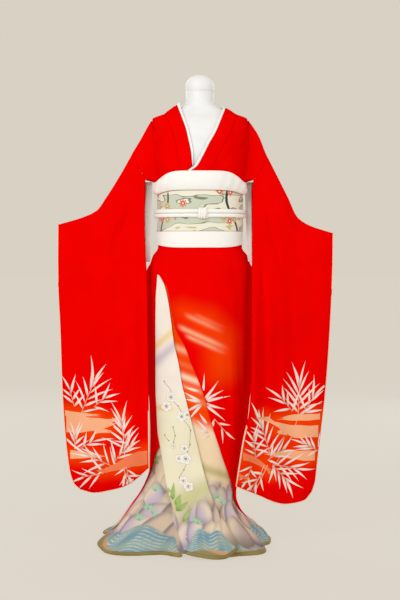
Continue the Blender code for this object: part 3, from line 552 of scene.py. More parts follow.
# %% Edges of the fronts
# Height and x of the two front edges, in millimetres
EDGE = {
    "left": table((
        (1330, 20), (1300, 0), (1270, -30), (1240, -60), (1180, -110), (1120, -138), (1069, -147), (1026, -170),
        (985, -168), (960, -150), (935, -117), (860, -102), (782, -84), (730, -56), (657, -28), (615, -10), (538, 17),
        (447, 42), (384, 63), (319, 84), (252, 107), (195, 122),
    )),
    "right": table((
        (1330, -60), (1270, -64), (1200, -82), (1070, -125), (980, -138), (700, -141), (386, -141), (332, -163),
        (286, -176), (250, -190),
    )),
}
EDGE_FOOT = {"left": 0.195, "right": 0.250}
WALL, SEAM_LEAN, LAYER = 0.0015, 0.0006, 0.0016
HEM_ROLL = 0.006
HEM_EDGE = 2 * HEM_ROLL + WALL + 0.0003
SIDE_SEAM, HEM_TIP, TIP_TOP = 112, 104, 0.045
SKIRT_LOW, SKIRT_HIGH = HEM_EDGE, 1.301
FRONT_SHARES = (0.0, 0.25, 0.45, 0.62, 0.76, 0.86, 0.93, 0.975, 1.0)
BACK_SHARES = (0.0, 0.25, 0.45, 0.62, 0.80, 0.86, 0.91, 0.95, 0.98, 1.0)
NECKLINE_SHARE = 0.80
COLLAR_WIDTH = 0.048
# x and height of the collar's inner edge, from the foot of the V to the shoulder line
COLLAR_INNER = {
    "left": mm((
        (-45, 1318), (-32, 1339), (-11, 1355), (11, 1392), (32, 1434), (56, 1477), (75, 1522), (86, 1548),
    )),
    "right": mm((
        (-26.5, 1356), (-32, 1406), (-41, 1449), (-50, 1488), (-62, 1522), (-74, 1548),
    )),
}
# The sides are the wearer's: the sign of x, and the picture's side on which each lies
SIGN = {"left": 1, "right": -1}
WIDTH_COLUMN = {"left": "right", "right": "left"}
print("front edges from", SKIRT_LOW, "to", SKIRT_HIGH)

# %% Sleeve outlines
# Distance from the middle and height along each edge of the two sleeves, in millimetres
OUTLINE = {
    "left": {
        "top": ((238, 1404), (281, 1320), (318, 1246), (350, 1180), (390, 1152), (479, 1122)),
        "inner": ((238, 1404), (220, 1350), (192, 1312), (186, 1270), (186, 1200), (183, 900),
                  (181, 640), (173, 500), (150, 380), (127, 232)),
        "bottom": ((127, 232), (212, 187), (312, 148), (375, 158), (405, 188)),
        "outer": ((479, 1122), (476, 960), (468, 774), (453, 558), (438, 420), (423, 290),
                  (417, 230), (405, 188)),
    },
    "right": {
        "top": ((238, 1417), (281, 1340), (340, 1246), (371, 1204), (420, 1180), (511, 1153)),
        "inner": ((238, 1417), (222, 1360), (197, 1316), (196, 1270), (199, 1200), (187, 900),
                  (183, 660), (181, 450), (180, 292)),
        "bottom": ((181, 292), (252, 226), (330, 195), (385, 186), (432, 195)),
        "outer": ((511, 1153), (511, 960), (504, 774), (497, 558), (487, 400), (472, 270),
                  (457, 220), (432, 195)),
    },
}
SLEEVE = {side: {name: along(mm(spots)) for name, spots in parts.items()} for side, parts in OUTLINE.items()}
CUFF_SEAM = 0.004
CUFF_TOP = {side: parts["outer"][0][1] / 1000 - CUFF_SEAM for side, parts in OUTLINE.items()}
ARMHOLE_FOOT = 1.314


def share_at_height(path, height):
    shares = np.linspace(0, 1, 2001)
    return float(shares[np.argmin(np.abs(path(shares)[:, 1] - height))])


ARMHOLE = {side: share_at_height(lambda s: SLEEVE[side]["inner"](s * 0.3), ARMHOLE_FOOT) * 0.3 for side in SIGN}
print("armhole share", {side: round(share, 4) for side, share in ARMHOLE.items()})


# %% Body shape
def mixed(first, second, share):
    """Between two places, by a share of the way."""
    return first + (second - first) * np.asarray(share)[..., None]


def seam_spot(side, share):
    """Where the collar is sewn on: its width away from its inner edge."""
    path = along(COLLAR_INNER[side])
    ahead = unit(path(np.minimum(share + 0.02, 1)) - path(np.maximum(share - 0.02, 0)))
    outward = np.stack([ahead[..., 1], -ahead[..., 0]], axis=-1) * SIGN[side]
    return path(share) + outward * COLLAR_WIDTH * fade(share, -0.9, 0.25)[..., None]


def on_ridge(side, away):
    """The place (x, z) of the shoulder line at a distance from the middle."""
    x = SIGN[side] * away
    return np.array([x, float(ridge(x))])


SHOULDER_START = {side: on_ridge(side, 0.132) for side in SIGN}


def upper_inner_path(side):
    spots = [tuple(seam_spot(side, np.array(s))) for s in (0.12, 0.30, 0.50, 0.70, 0.86)]
    if side == "right":
        spots[0] = (-0.070, 1.322)
    return along(spots + [tuple(SHOULDER_START[side])])


UPPER_INNER = {side: upper_inner_path(side) for side in SIGN}


def armhole(side, share):
    return SLEEVE[side]["inner"](ARMHOLE[side] * (1 - np.asarray(share))) * np.array([SIGN[side], 1])


def bent(side, spot, u, share, exponent):
    """Follows the curved shoulder line as the share nears 1."""
    start, end = SHOULDER_START[side], armhole(side, 1)
    x = start[0] + (end[0] - start[0]) * u
    line = np.stack([x, ridge(x)], axis=-1)
    return spot + (line - mixed(start, end, u)) * (share ** exponent)[..., None]


def front_upper(side, u, share):
    return bent(side, mixed(UPPER_INNER[side](share), armhole(side, share), u), u, share, 1.5)


def neck_back(side, share):
    spots = ((SEAM_LEAN / 2, 1.522), (0.052, 1.524), (0.098, 1.532))
    return along([(SIGN[side] * x, z) for x, z in spots] + [tuple(SHOULDER_START[side])])(share)


def back_upper(side, u, share):
    middle = np.stack([np.full_like(share, SIGN[side] * SEAM_LEAN / 2), 1.32 + 0.202 * share / NECKLINE_SHARE], -1)
    above = neck_back(side, np.clip((share - NECKLINE_SHARE) / (1 - NECKLINE_SHARE), 0, 1))
    inner = np.where((share > NECKLINE_SHARE)[..., None], above, middle)
    return bent(side, mixed(inner, armhole(side, share), u), u, share, 3)


print("shoulder line from", {side: SHOULDER_START[side].round(3).tolist() for side in SIGN})

# %% [markdown]
# Below the waist each half is laid out by direction and height, from its front edge to the side
# seam and from there to the seam at the back.

# %% Skirt shape
HIP_EASE, EASE_TURN, EASE_WIDTH = 0.009, 97, 18


def hip_ease(phi, z):
    """The silk's ease at the hips, where it billows behind the sleeves' inner edges."""
    return HIP_EASE * bell(np.abs(phi), EASE_TURN, EASE_WIDTH) * fade(z, 0.50, 0.70) * (1 - fade(z, 0.985, 1.018))


def front_start(side, z):
    """The direction of a front's edge, which turns out to the tip of the hem at the floor."""
    edge_z = np.maximum(z, EDGE_FOOT[side])
    return front_angle(EDGE[side](edge_z), edge_z), 1 - fade(z, TIP_TOP, edge_z)


def skirt_point(side, u, z, back):
    sign = SIGN[side]
    side_turn = SIDE_SEAM - (SIDE_SEAM - (93 if back else 87)) * fade(z, 1.20, 1.30)
    if back:
        middle = 180 - np.degrees(SEAM_LEAN / 2 / SIZE["back"](z))
        edge = side_turn + np.degrees(SEAM_LEAN / SIZE[WIDTH_COLUMN[side]](z))
        phi = sign * (middle + (edge - middle) * u)
        return form_point(phi, z, hip_ease(phi, z))
    start, at_floor = front_start(side, z)
    start = start + (sign * HEM_TIP - start) * at_floor
    phi = start + (sign * side_turn - start) * u ** 1.35
    if side == "left":
        return form_point(phi, z, hip_ease(phi, z))
    under = WALL + LAYER + 0.0028 * fade(z, 0.84, 0.93)
    inward = (1 - fade(z, 1.27, 1.30)) * (1 - fade(np.abs(phi), 89, SIDE_SEAM - 5))
    return form_point(phi, z, hip_ease(phi, z) - under * inward)


def front_place(side, u, share):
    spot = front_upper(side, u, share)
    place = upper_point(spot[:, 0], spot[:, 1])
    on_line = share >= 1
    place[on_line] = points(spot[on_line, 0], 0, ridge(spot[on_line, 0]))
    return place


def back_place(side, u, share):
    spot = back_upper(side, u, share)
    return upper_point(spot[:, 0], spot[:, 1], True)


# %% [markdown]
# Creases are laid on one by one, as soft uneven troughs and ridges. Each has a start and an end on
# the front or back, a width, and a depth that is negative for a trough.

# %% Creases
# Start x and z, end x and z, width and depth, in millimetres
BODY_CREASES = (
    (60, 1352, 150, 1440, 12, -3), (75, 1342, 180, 1400, 10, 2.4), (110, 1345, 205, 1372, 9, -2.4),
    (-70, 1350, -150, 1450, 12, -3), (-100, 1345, -190, 1410, 10, 2.4), (-130, 1338, -215, 1372, 9, -2.2),
    (100, 1500, 170, 1430, 16, -2), (-105, 1500, -175, 1420, 16, -2), (20, 1050, 95, 860, 13, -2.2),
    (110, 1050, 150, 800, 12, -2.8), (-60, 1050, -20, 870, 12, 1.8), (-110, 1045, -80, 930, 9, -1.8),
    (130, 920, 150, 420, 11, -3.8), (105, 760, 128, 300, 10, 2.8), (-165, 900, -160, 480, 10, -3),
    (60, 620, 110, 340, 12, -1.8),
)


def crease_height(x, z, creases):
    total = np.zeros_like(x)
    for ax, az, bx, bz, width, depth in mm(creases):
        near, gap = beside(x, z, ax, az, bx, bz)
        ends = fade(near, 0, 0.3) * (1 - fade(near, 0.6, 1.0)) + 0.15
        sway = 1 + 0.35 * np.sin(9 * near + 40 * ax)
        total += depth * bell(gap, 0, width * sway) * ends
    return total


def body_shape(side):
    """One length of silk from the front hem over the shoulder to the back hem, and its rows."""
    rows = np.linspace(SKIRT_LOW, SKIRT_HIGH, 210)
    front, back = refined(FRONT_SHARES, 5), refined(BACK_SHARES[::-1], 5)
    kind = np.repeat([0, 1, 2, 3], [len(rows), len(front), len(back) - 1, len(rows)])
    level = np.concatenate([rows, front, back[1:], rows[::-1]])
    placers = (
        lambda u, z: skirt_point(side, u, z, False), lambda u, share: front_place(side, u, share),
        lambda u, share: back_place(side, u, share), lambda u, z: skirt_point(side, u, z, True),
    )

    def shape(u, v):
        index = np.rint(v * (len(kind) - 1)).astype(int)
        where, at = kind[index], level[index]
        places = np.empty((len(u), 3))
        for step, place in enumerate(placers):
            pick = where == step
            places[pick] = place(u[pick], at[pick])
        outward = np.where(where < 2, -1, 1)
        lift = crease_height(places[:, 0] * -outward, places[:, 2], BODY_CREASES)
        calm = fade(u, 0.0, 0.06) * (1 - fade(u, 0.95, 1.0)) * (1 - fade(at, 0.9, 1.0) * (np.abs(where - 1.5) < 1))
        places[:, 1] += outward * lift * calm * (np.abs(places[:, 1]) > 0.02)
        return places

    return shape, len(kind) - 1


# %% [markdown]
# The hem carries rounded rocks, broken water and a strip of earth in our own layout. Their
# places come from seeded random numbers, and their colours are mixed from height and direction.

# %% Painted hem
ROCK_ROWS = ((0.225, 17.0, 0.070), (0.165, 15.0, 0.068), (0.110, 14.0, 0.062), (0.062, 13.0, 0.050))
ROCK_TONES = srgb(216, 192, 172), srgb(198, 182, 200), srgb(190, 172, 164)
ROCK_DARK, ROCK_OLIVE = np.array(srgb(104, 92, 128)), np.array(srgb(138, 124, 92))


def rock_rows():
    """Rounded rocks: direction, foot height, width in degrees, height and tint."""
    draw = np.random.default_rng(11)
    return [
        (turn + draw.uniform(-4, 4), base + draw.uniform(-0.014, 0.014), pitch * draw.uniform(0.55, 0.95),
         tall * draw.uniform(0.75, 1.2), draw.uniform(0, 1))
        for base, pitch, tall in ROCK_ROWS for turn in np.arange(-180, 180, pitch)
    ]


ROCKS = rock_rows()
print("rocks", len(ROCKS))


def direction(x, y):
    return np.degrees(np.arctan2(x, -y))


def swing(turn, count, shift=0.0):
    """A sine that swings so many times in the whole way round."""
    return np.sin(np.radians(turn * count) + shift)


def add_rock(colour, turn, z, centre, foot, wide, tall, tint):
    away = ((turn - centre + 180) % 360 - 180) / wide
    rise = (z - foot) / tall
    reach = np.hypot(away, rise) + 0.05 * np.sin(3 * np.arctan2(rise, away) + 9 * tint)
    rim = bell(np.clip(reach, 0, 1), 1, 0.22)
    lit = fade(0.5 * rise - 0.8 * away * (1 if tint > 0.5 else -1), -0.4, 0.9)
    dark = ROCK_DARK + (ROCK_OLIVE - ROCK_DARK) * tint
    rock = wash(one_colour(turn, ROCK_TONES[int(tint * 2.99)]), srgb(244, 226, 198), 0.85 * lit)
    rock = wash(rock, dark, 0.75 * rim * (1 - 0.5 * lit))
    rock = wash(rock, dark * 0.75, 0.55 * fade(-rise, -0.1, 0.7))
    return wash(colour, rock, 1 - fade(reach, 0.97, 1.03))


def landscape(x, y, z):
    """Rocks, mist and water of the painted hem: colours by direction and height."""
    turn = direction(x, y)
    colour = wash(one_colour(x, srgb(240, 230, 200)), srgb(158, 142, 138), fade(0.13 - z, 0.0, 0.07))
    haze = 0.5 + 0.5 * swing(turn, 3.1, 11 * z)
    colour = wash(colour, srgb(206, 200, 140), 0.6 * haze * fade(z, 0.20, 0.30) * (1 - fade(z, 0.32, 0.40)))
    for rock in ROCKS:
        colour = add_rock(colour, turn, z, *rock)
    swell = 0.050 + 0.034 * swing(turn, 5, np.radians(20)) + 0.010 * swing(turn, 17)
    depth = swell - z + 0.004 * swing(turn, 13) + 0.0006 * turn
    wave = np.sin(depth * 700 + 1.2 * swing(turn, 23))
    tide = 0.5 + 0.5 * swing(turn, 7, depth * 120)
    broken = 0.7 * fade(swing(turn, 19, 45 * depth) + 0.6 * swing(turn, 43), -1.0, 0.3)
    stream = wash(one_colour(x, srgb(120, 154, 170)), srgb(164, 178, 160), 0.7 * tide)
    stream = wash(stream, srgb(168, 192, 194), broken * fade(wave, -0.4, 0.7))
    stream = wash(stream, srgb(222, 226, 216), broken * fade(wave, 0.80, 0.98))
    colour = wash(colour, stream, fade(swell - z, -0.002, 0.004))
    earth = wash(one_colour(x, srgb(150, 138, 96)), srgb(198, 162, 122), fade(swing(turn, 11, 160 * z), -0.3, 0.8))
    rim = 0.019 + 0.007 * swing(turn, 3, np.radians(40)) + 0.004 * swing(turn, 8)
    return wash(colour, earth, fade(rim - z, -0.001, 0.002))


# %% Body pieces
GLOW = ((-0.060, 0.845, 0.020), (0.020, 0.800, 0.045), (0.070, 0.745, 0.045), (0.075, 0.640, 0.040))
# Light streaks of the front: height of the slanting line, width, first and last x, strength
LIGHT_STREAKS = (
    (0.760, 0.0085, -0.085, 0.110, 0.95), (0.740, 0.0070, -0.060, 0.105, 0.80), (0.812, 0.0075, -0.060, 0.095, 0.60),
    (0.828, 0.0060, -0.030, 0.105, 0.30),
)


def red_body_painter(x, y, z):
    front, behind = y < 0.02, fade(y, 0.06, 0.10)
    colour = wash(one_colour(x, RED), ORANGE, 0.85 * stroke_mask(x, z, GLOW, 0.11) * front)
    slope = z + 0.45 * x
    for height, width, start, end, strength in LIGHT_STREAKS:
        streak = bell(slope, height, width) * fade(x, start, start + 0.03) * (1 - fade(x, end - 0.08, end))
        colour = wash(colour, PEACH, strength * streak * front)
    turn = direction(x, y)
    edge = 0.245 + 0.030 * swing(turn, 4) + 0.012 * swing(turn, 11)
    colour = wash(colour, ORANGE, 0.8 * fade(edge - z, -0.07, 0.01) * behind)
    return wash(colour, landscape(x, y, z), fade(edge - z, 0.0, 0.035) * behind)


body = {}
for side, columns, size in (("left", 72, (0.42, 3.06)), ("right", 44, (0.34, 3.06))):
    shape, rows = body_shape(side)
    body[side] = add_cloth("silk_body_" + side, shape, (columns, rows), size, painted_silk,
                           "body_" + side, red_body_painter, wall=0.0013)
    print(body[side].name, len(body[side].data.polygons), "faces")

# %% [markdown]
# ## Sleeves
#
# A furisode sleeve is a flat bag: front and back joined at the top, the outer edge and the
# bottom, open at the cuff and along the inner edge below the armhole. It hangs a little forward
# at its inner side, with long soft folds.

# %% Sleeve shape
SLEEVE_FORWARD = {"right": 0.100, "left": 0.140}
CUFF_HEIGHT, CUFF_OPEN = 0.230, 0.011
SLEEVE_CREASES = {
    "right": (
        (245, 1225, 340, 960, 13, -6), (260, 1250, 330, 1090, 11, 4.2), (300, 1265, 385, 1150, 12, -4.5),
        (330, 1215, 440, 1120, 12, 3.5), (225, 1000, 235, 560, 14, -6), (262, 900, 255, 480, 15, 5),
        (300, 860, 290, 420, 18, -4.2), (200, 800, 205, 380, 10, 3.6), (350, 1050, 370, 620, 22, 3.2),
        (430, 1080, 420, 700, 20, -3), (330, 540, 320, 250, 18, -3), (400, 560, 400, 300, 20, 2.6),
    ),
    "left": (
        (235, 1230, 290, 980, 13, -6), (285, 1235, 350, 1110, 10, 4.4), (300, 1200, 400, 1130, 10, -4.2),
        (330, 1190, 385, 1060, 11, 3.6), (222, 1060, 226, 600, 13, -6.5), (252, 960, 246, 420, 16, 5),
        (286, 880, 272, 400, 18, -4.4), (196, 900, 190, 420, 10, 3.6), (340, 1000, 352, 620, 20, 3),
        (405, 1040, 400, 660, 20, -3), (310, 560, 300, 230, 18, -2.8), (375, 540, 370, 260, 18, 2.6),
    ),
}


def sleeve_spot(side, u, v):
    """A sleeve's outline filled from its four edges: distance from the middle and height."""
    edge = SLEEVE[side]
    out, down = u[:, None], v[:, None]
    corners = (
        edge["top"](0) * ((1 - out) * (1 - down)) + edge["top"](1) * (out * (1 - down))
        + edge["bottom"](0) * ((1 - out) * down) + edge["bottom"](1) * (out * down)
    )
    return (
        edge["top"](u) * (1 - down) + edge["bottom"](u) * down + edge["inner"](v) * (1 - out) + edge["outer"](v) * out
        - corners
    )


def sleeve_middle(side, u, v, z):
    forward = SLEEVE_FORWARD[side] * (1 - u) ** 1.4 * fade(1.31 - z, 0.0, 0.62)
    ripple = 0.007 * np.sin(2 * np.pi * (2.6 * u + 0.12)) * fade(v, 0.12, 0.6) * (1 - u) ** 0.5
    return -forward - ripple


def sleeve_half(side, u, v, spot):
    own = (
        SLEEVE_GAP * np.sqrt(np.minimum(v / 0.09, 1)) * np.sqrt(np.clip((1 - v) / 0.06, 0, 1))
        * np.sqrt(np.clip((1 - u) / 0.10, 0, 1))
    )
    sewn = (1 - fade(u, 0.0, 0.30)) * fade(spot[:, 1], 1.20, 1.31)
    return own + (half_depth(SIGN[side] * spot[:, 0], spot[:, 1]) - own) * sewn


def sleeve_rows(side):
    sewn = ARMHOLE[side]
    return (
        [sewn * (1 - share) for share in (1.0, 0.975, 0.86, 0.62, 0.45, 0.25)]
        + [sewn + (0.95 - sewn) * step / 9 for step in range(10)] + [0.994, 1.0]
    )


def sleeve_shape(side):
    rows = sleeve_rows(side)

    def shape(s, v):
        front = s <= 0.5
        u = np.where(front, 2 * s, 2 * (1 - s))
        row = np.interp(v * (len(rows) - 1), np.arange(len(rows)), rows)
        row = row + (v - row) * fade(u, 0.25, 1.0)
        spot = sleeve_spot(side, u, row)
        half = np.where((v > 0) & (v < 1), sleeve_half(side, u, row, spot), 0)
        lift = crease_height(spot[:, 0], spot[:, 1], SLEEVE_CREASES[side])
        lift = lift * fade(u, 0.0, 0.05) * (1 - fade(u, 0.93, 1.0)) * fade(v, 0.03, 0.12) * (1 - fade(v, 0.94, 1.0))
        middle = sleeve_middle(side, u, row, spot[:, 1])
        y = middle + np.where(front, -half - lift, half + 0.8 * lift)
        return points(SIGN[side] * (spot[:, 0] + 0.0002 * (1 - u)), y, spot[:, 1])

    return shape


# %% [markdown]
# The cuff is opened by parting the front from the back along a stretch of the outer edge.

# %% Sleeves
def open_cuff(grid, side):
    """Parts the front from the back along the outer edge, for the height of the cuff."""
    share = grid.verts.layers.float["share_u"]
    top = CUFF_TOP[side]

    def outermost(vert):
        return abs(vert[share] - 0.5) < 1e-4

    cuff = [
        edge for edge in grid.edges
        if all(map(outermost, edge.verts))
        and top + CUFF_SEAM - CUFF_HEIGHT < sum(vert.co.z for vert in edge.verts) / 2 < top
    ]
    bmesh.ops.split_edges(grid, edges=cuff)
    for vert in grid.verts:
        depth = (top - vert.co.z) / CUFF_HEIGHT
        if outermost(vert) and vert.is_boundary and 0 < depth < 1:
            around = [other[share] for face in vert.link_faces for other in face.verts]
            toward = -1 if sum(around) / len(around) < 0.5 else 1
            vert.co.y += toward * CUFF_OPEN * math.sin(math.pi * depth)


def build_sleeve(side):
    grid = cloth_grid(sleeve_shape(side), (150, 204), (0.6, 1.0))
    open_cuff(grid, side)

    def inside(places):
        share = np.clip((np.abs(places[:, 0]) - 0.19) / 0.3, 0, 1)
        return points(places[:, 0], sleeve_middle(side, share, 0.5, places[:, 2]), places[:, 2])

    face_from(grid, inside)
    piece = mesh_piece("silk_sleeve_" + side, grid, painted_silk, "sleeve_" + side, SILK_WALL,
                       sleeve_painter(side))
    print(piece.name, len(piece.data.polygons), "faces")
    return piece


sleeve = {side: build_sleeve(side) for side in SIGN}

# %% [markdown]
# ## Painted panels of the opening
#
# The skirt opens on two painted overlaps and on the turned-back edge of the left front. They are
# thin sheets under or over the red fronts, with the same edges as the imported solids.

# %% Skirt panels
# Height and x of the turned-back panel's two edges, in millimetres
TURNBACK = {
    "left": table((
        (976, -150), (885, -155), (568, -155), (504, -152), (420, -148), (379, -141), (276, -123), (183, -105),
        (91, -69), (0, -40),
    )),
    "right": table((
        (976, -146), (940, -126), (886, -112), (823, -102), (740, -91), (656, -73), (593, -63), (538, -49),
        (398, -14), (246, 24), (141, 59), (49, 118), (0, 130),
    )),
}
TURNBACK_TOP, TURNBACK_STAND, TURNBACK_EDGE, TURNBACK_SEAT = 0.974, 0.024, 0.0004, 0.0014
OVERLAP_TOP, FLARE_TOP = 0.955, 0.440
PANEL_TUCK, PANEL_SLACK = 5, 2


def turnback_lift(u):
    return 0.018 * (2 * u - 1) ** 2 + 0.010 * fade(u, 0.6, 1.0)


def panel_place(left, right, u, z, out):
    """A panel's place between two directions, kept at its own height."""
    place = form_point(left + (right - left) * u, z, out)
    place[:, 2] = z
    return place


def turnback_shape(u, v):
    low = HEM_EDGE + TURNBACK_EDGE + turnback_lift(u)
    z = low + (TURNBACK_TOP - low) * v ** 1.35
    lift = WALL + SEAM_LEAN + LAYER * (1 - fade(z, 0.80, 0.90)) - TURNBACK_SEAT * fade(z, 0.88, 0.95)
    lift = lift + TURNBACK_STAND * (1 - fade(z, 0.04, 0.32))
    soft = 0.0030 * np.sin(2 * np.pi * (1.15 * u + 0.15)) * (1 - fade(z, 0.25, 0.60)) * np.sin(np.pi * u)
    return panel_place(front_angle(TURNBACK["left"](z), z), front_angle(TURNBACK["right"](z), z), u, z, lift + soft)


def overlap_shape(u, v):
    z = HEM_EDGE + (OVERLAP_TOP - HEM_EDGE) * v ** 1.35
    left = front_angle(TURNBACK["right"](z) - 0.022, z)
    left = left + (4 - left) * (1 - fade(z, 0.0, 0.16))
    right, at_floor = front_start("left", z)
    right = right + PANEL_TUCK * fade(z, 0.12, 0.24)
    right = right + (HEM_TIP - PANEL_SLACK - right) * at_floor
    return panel_place(left, right, u, z, -(WALL + LAYER) * (1.2 + 0.8 * (1 - fade(z, 0.30, 0.45))))


def flare_shape(u, v):
    z = HEM_EDGE + (FLARE_TOP - HEM_EDGE) * v ** 1.2
    left, at_floor = front_start("right", z)
    left = left - PANEL_TUCK * fade(z, 0.12, 0.24)
    left = left + (PANEL_SLACK - HEM_TIP - left) * at_floor
    right = front_angle(TURNBACK["left"](z) + 0.012 + 0.024 * fade(z, 0.05, 0.25), z)
    return panel_place(left, right, u, z, -(WALL + LAYER) * (2 + fade(z, 0.15, 0.28)))


# %% [markdown]
# Each panel has its own painter, which gives the colour of every point of its mesh.

# %% Panel painters
def lining_painter(x, y, z):
    """The turned-back panel: pale above, with a faint haze, and the painted hem below."""
    colour = wash(one_colour(x, srgb(247, 236, 226)), srgb(240, 232, 204), fade(0.60 - z, 0, 0.16))
    colour = wash(colour, srgb(196, 194, 130), 0.7 * fade(0.285 - z + 0.5 * x, 0, 0.07))
    slope = z - 0.9 * (x + 0.12)
    colour = wash(colour, srgb(240, 206, 130), 0.75 * bell(slope, 0.755, 0.016))
    colour = wash(colour, srgb(200, 190, 206), 0.75 * bell(slope, 0.700, 0.022))
    colour = wash(colour, srgb(246, 190, 110), 0.85 * bell(z, 0.505, 0.010) * bell(x, -0.13, 0.03))
    low = fade(0.215 + 0.04 * np.sin(18 * x) - z, 0.0, 0.06)
    return wash(colour, landscape(x * 1.15 + 0.03, y, z * 0.86), low)


# Mist bands of the left overlap: height of the slanting line, width, colour, strength
OVERLAP_MIST = (
    (0.690, 0.012, PEACH, 0.9), (0.640, 0.010, SALMON, 0.5), (0.598, 0.012, srgb(250, 225, 195), 0.9),
    (0.565, 0.008, PEACH, 0.6), (0.530, 0.012, srgb(246, 150, 90), 0.6), (0.490, 0.010, ORANGE, 0.8),
)


def overlap_painter(x, y, z):
    """The left overlap: orange mist above, cream in the middle and the painted hem below."""
    colour, slope = one_colour(x, ORANGE), z + 0.35 * x
    for height, width, tone, strength in OVERLAP_MIST:
        colour = wash(colour, tone, strength * bell(slope, height, width))
    colour = wash(colour, srgb(246, 222, 186), fade(0.475 - slope, 0.0, 0.05))
    colour = wash(colour, srgb(178, 168, 104), 0.7 * bell(slope, 0.300, 0.018))
    return wash(colour, landscape(x, y, z), fade(0.285 - slope, 0.0, 0.03))


def flare_painter(x, y, z):
    streaks = 0.7 * fade(z, 0.27, 0.36) * (0.5 + 0.5 * np.sin(60 * (x + 0.4 * z)))
    return wash(landscape(x * 1.1 - 0.05, y, z * 0.92), srgb(176, 186, 120), streaks)


panel = {}
for name, shape, cells, size, painter, node, held, flat, slot in (
    ("turned_back_lining_silk", turnback_shape, (44, 300), (0.14, 1.0), lining_painter, "turned_back_lining",
     "folded", (0.13, 0.98), "pale_lining"),
    ("painted_overlap_left", overlap_shape, (64, 260), (0.22, 1.0), overlap_painter, "okumi_left", "hung",
     (0.15, 0.97), "painted_silk"),
    ("painted_overlap_right", flare_shape, (80, 150), (0.26, 0.5), flare_painter, "okumi_right", "hung",
     (0.27, 0.46), "painted_silk"),
):
    panel[node] = add_cloth(name, shape, cells, size, painted_silk, node, painter)
    print(name, "area", round(sum(p.area for p in panel[node].data.polygons), 4))

# %% [markdown]
# ## Collar
#
# A kimono collar is one straight band, folded along its length and sewn round the neck from
# one front to the other. It lies flat on the fronts and stands away from the nape behind. The
# white edge inside it belongs to the band that is tacked in to keep the silk clean.

# %% Collar shape
NECK_SHARES = tuple((share - NECKLINE_SHARE) / (1 - NECKLINE_SHARE) for share in BACK_SHARES[4:])
COLLAR_EDGE_SHOWN, COLLAR_EDGE_GAP, COLLAR_SEAM = 0.009, 0.0009, 0.0002
COLLAR_TOP = {"left": on_ridge("left", 0.0925), "right": on_ridge("right", 0.0830)}


def collar_levels():
    """Rows from the left front round the neck to the right front: side, front or back, share."""
    front, behind = refined(FRONT_SHARES, 7), refined(NECK_SHARES[::-1], 9)[1:]
    half = [(0, t) for t in front] + [(1, t) for t in behind]
    rows = [(0, kind, t) for kind, t in half] + [(1, kind, t) for kind, t in half[-2::-1]]
    return np.array(rows, float)


def collar_place(side, back, t, across, out):
    sign, start, top = SIGN[side], SHOULDER_START[side], COLLAR_TOP[side]
    if back:
        rim = along(((0.0, 1.5735), (sign * 0.050, 1.5730), (sign * 0.074, 1.5710), tuple(top)))
        spot = mixed(rim(t), neck_back(side, t), across)
        return upper_point(spot[:, 0], spot[:, 1], True, out)
    spot = mixed(mixed(along(COLLAR_INNER[side])(t), top, fade(t, 0.80, 1.0)), UPPER_INNER[side](t), across)
    x = top[0] + (start[0] - top[0]) * across
    return np.where((t >= 1)[:, None], points(x, 0, ridge(x) + out), upper_point(spot[:, 0], spot[:, 1], False, out))


COLLAR_ROWS = collar_levels()


def collar_shape_from(across_of, out_of):
    def shape(u, v):
        rows = COLLAR_ROWS[np.rint(v * (len(COLLAR_ROWS) - 1)).astype(int)]
        across, out = across_of(u, rows), out_of(u)
        places = np.empty((len(u), 3))
        for i, side in enumerate(SIGN):
            for back in (0, 1):
                pick = (rows[:, 0] == i) & (rows[:, 1] == back)
                places[pick] = collar_place(side, back, rows[pick, 2], across[pick], out[pick])
        return places

    return shape


def band_across(u, rows):
    return u * (1 - COLLAR_SEAM / COLLAR_WIDTH)


def edge_across(u, rows):
    """The white edge is narrower at the foot of the right front, where the left one covers it."""
    hidden = (rows[:, 0] == 1) & (rows[:, 1] == 0)
    least = COLLAR_EDGE_GAP + 0.002
    shown = np.where(hidden, least + (COLLAR_EDGE_SHOWN - least) * fade(rows[:, 2], 0, 0.30), COLLAR_EDGE_SHOWN)
    return -(COLLAR_EDGE_GAP + (shown - COLLAR_EDGE_GAP) * u) / COLLAR_WIDTH


white_silk = silk("white_sash_silk", srgb(249, 247, 244), grain=0.10, rough=0.52, thread=1500.0, tint=0.02)
collar_band = add_cloth(
    "collar_band", collar_shape_from(band_across, lambda u: 0.0016 * np.sin(np.pi * u) ** 0.5),
    (12, len(COLLAR_ROWS) - 1), (0.05, 1.0), painted_silk, "collar",
    lambda x, y, z: one_colour(x, RED), wall=0.0016)
collar_white = add_cloth(
    "collar_white_edge", collar_shape_from(edge_across, lambda u: 0.0002 * np.ones_like(u)),
    (3, len(COLLAR_ROWS) - 1), (0.009, 1.0), white_silk, "collar_edge")
print("collar rows", len(COLLAR_ROWS))

# %% [markdown]
# ## Tubes: hem rolls and piping
#
# The hem of a trailing kimono is turned up over cotton wadding, which makes a round roll that
# weighs the silk down. The sleeves' edges show a narrow rim of lining. Both are a circle carried
# along a path, so one helper makes them from the same grid.

# %% Tube helper
def tube_shape(centre, radius, side_from, ends=0.0):
    """A circle carried along centre(v), closed in a dome over the share ends at both sides."""
    def shape(u, v):
        here = centre(v)
        ahead = unit(centre(np.minimum(v + 0.004, 1)) - centre(np.maximum(v - 0.004, 0)))
        side = unit(np.cross(ahead, np.array(side_from, float)))
        other = np.cross(side, ahead)
        turn = 2 * np.pi * u
        size = radius(u, v) if callable(radius) else radius
        if ends:
            near = np.minimum(np.minimum(v, 1 - v) / ends, 1)
            size = size * np.sqrt(1 - (1 - near) ** 2)
        return here + side * (size * np.cos(turn))[:, None] + other * (size * np.sin(turn))[:, None]

    return shape


def add_tube(name, centre, radius, cells, length, material, side_from=(0, 0, 1), ends=0.02, node=None):
    return add_ring(name, tube_shape(centre, radius, side_from, ends), cells, (0.04, length), material, node)


# %% Hem rolls
ROLL = 0.0068


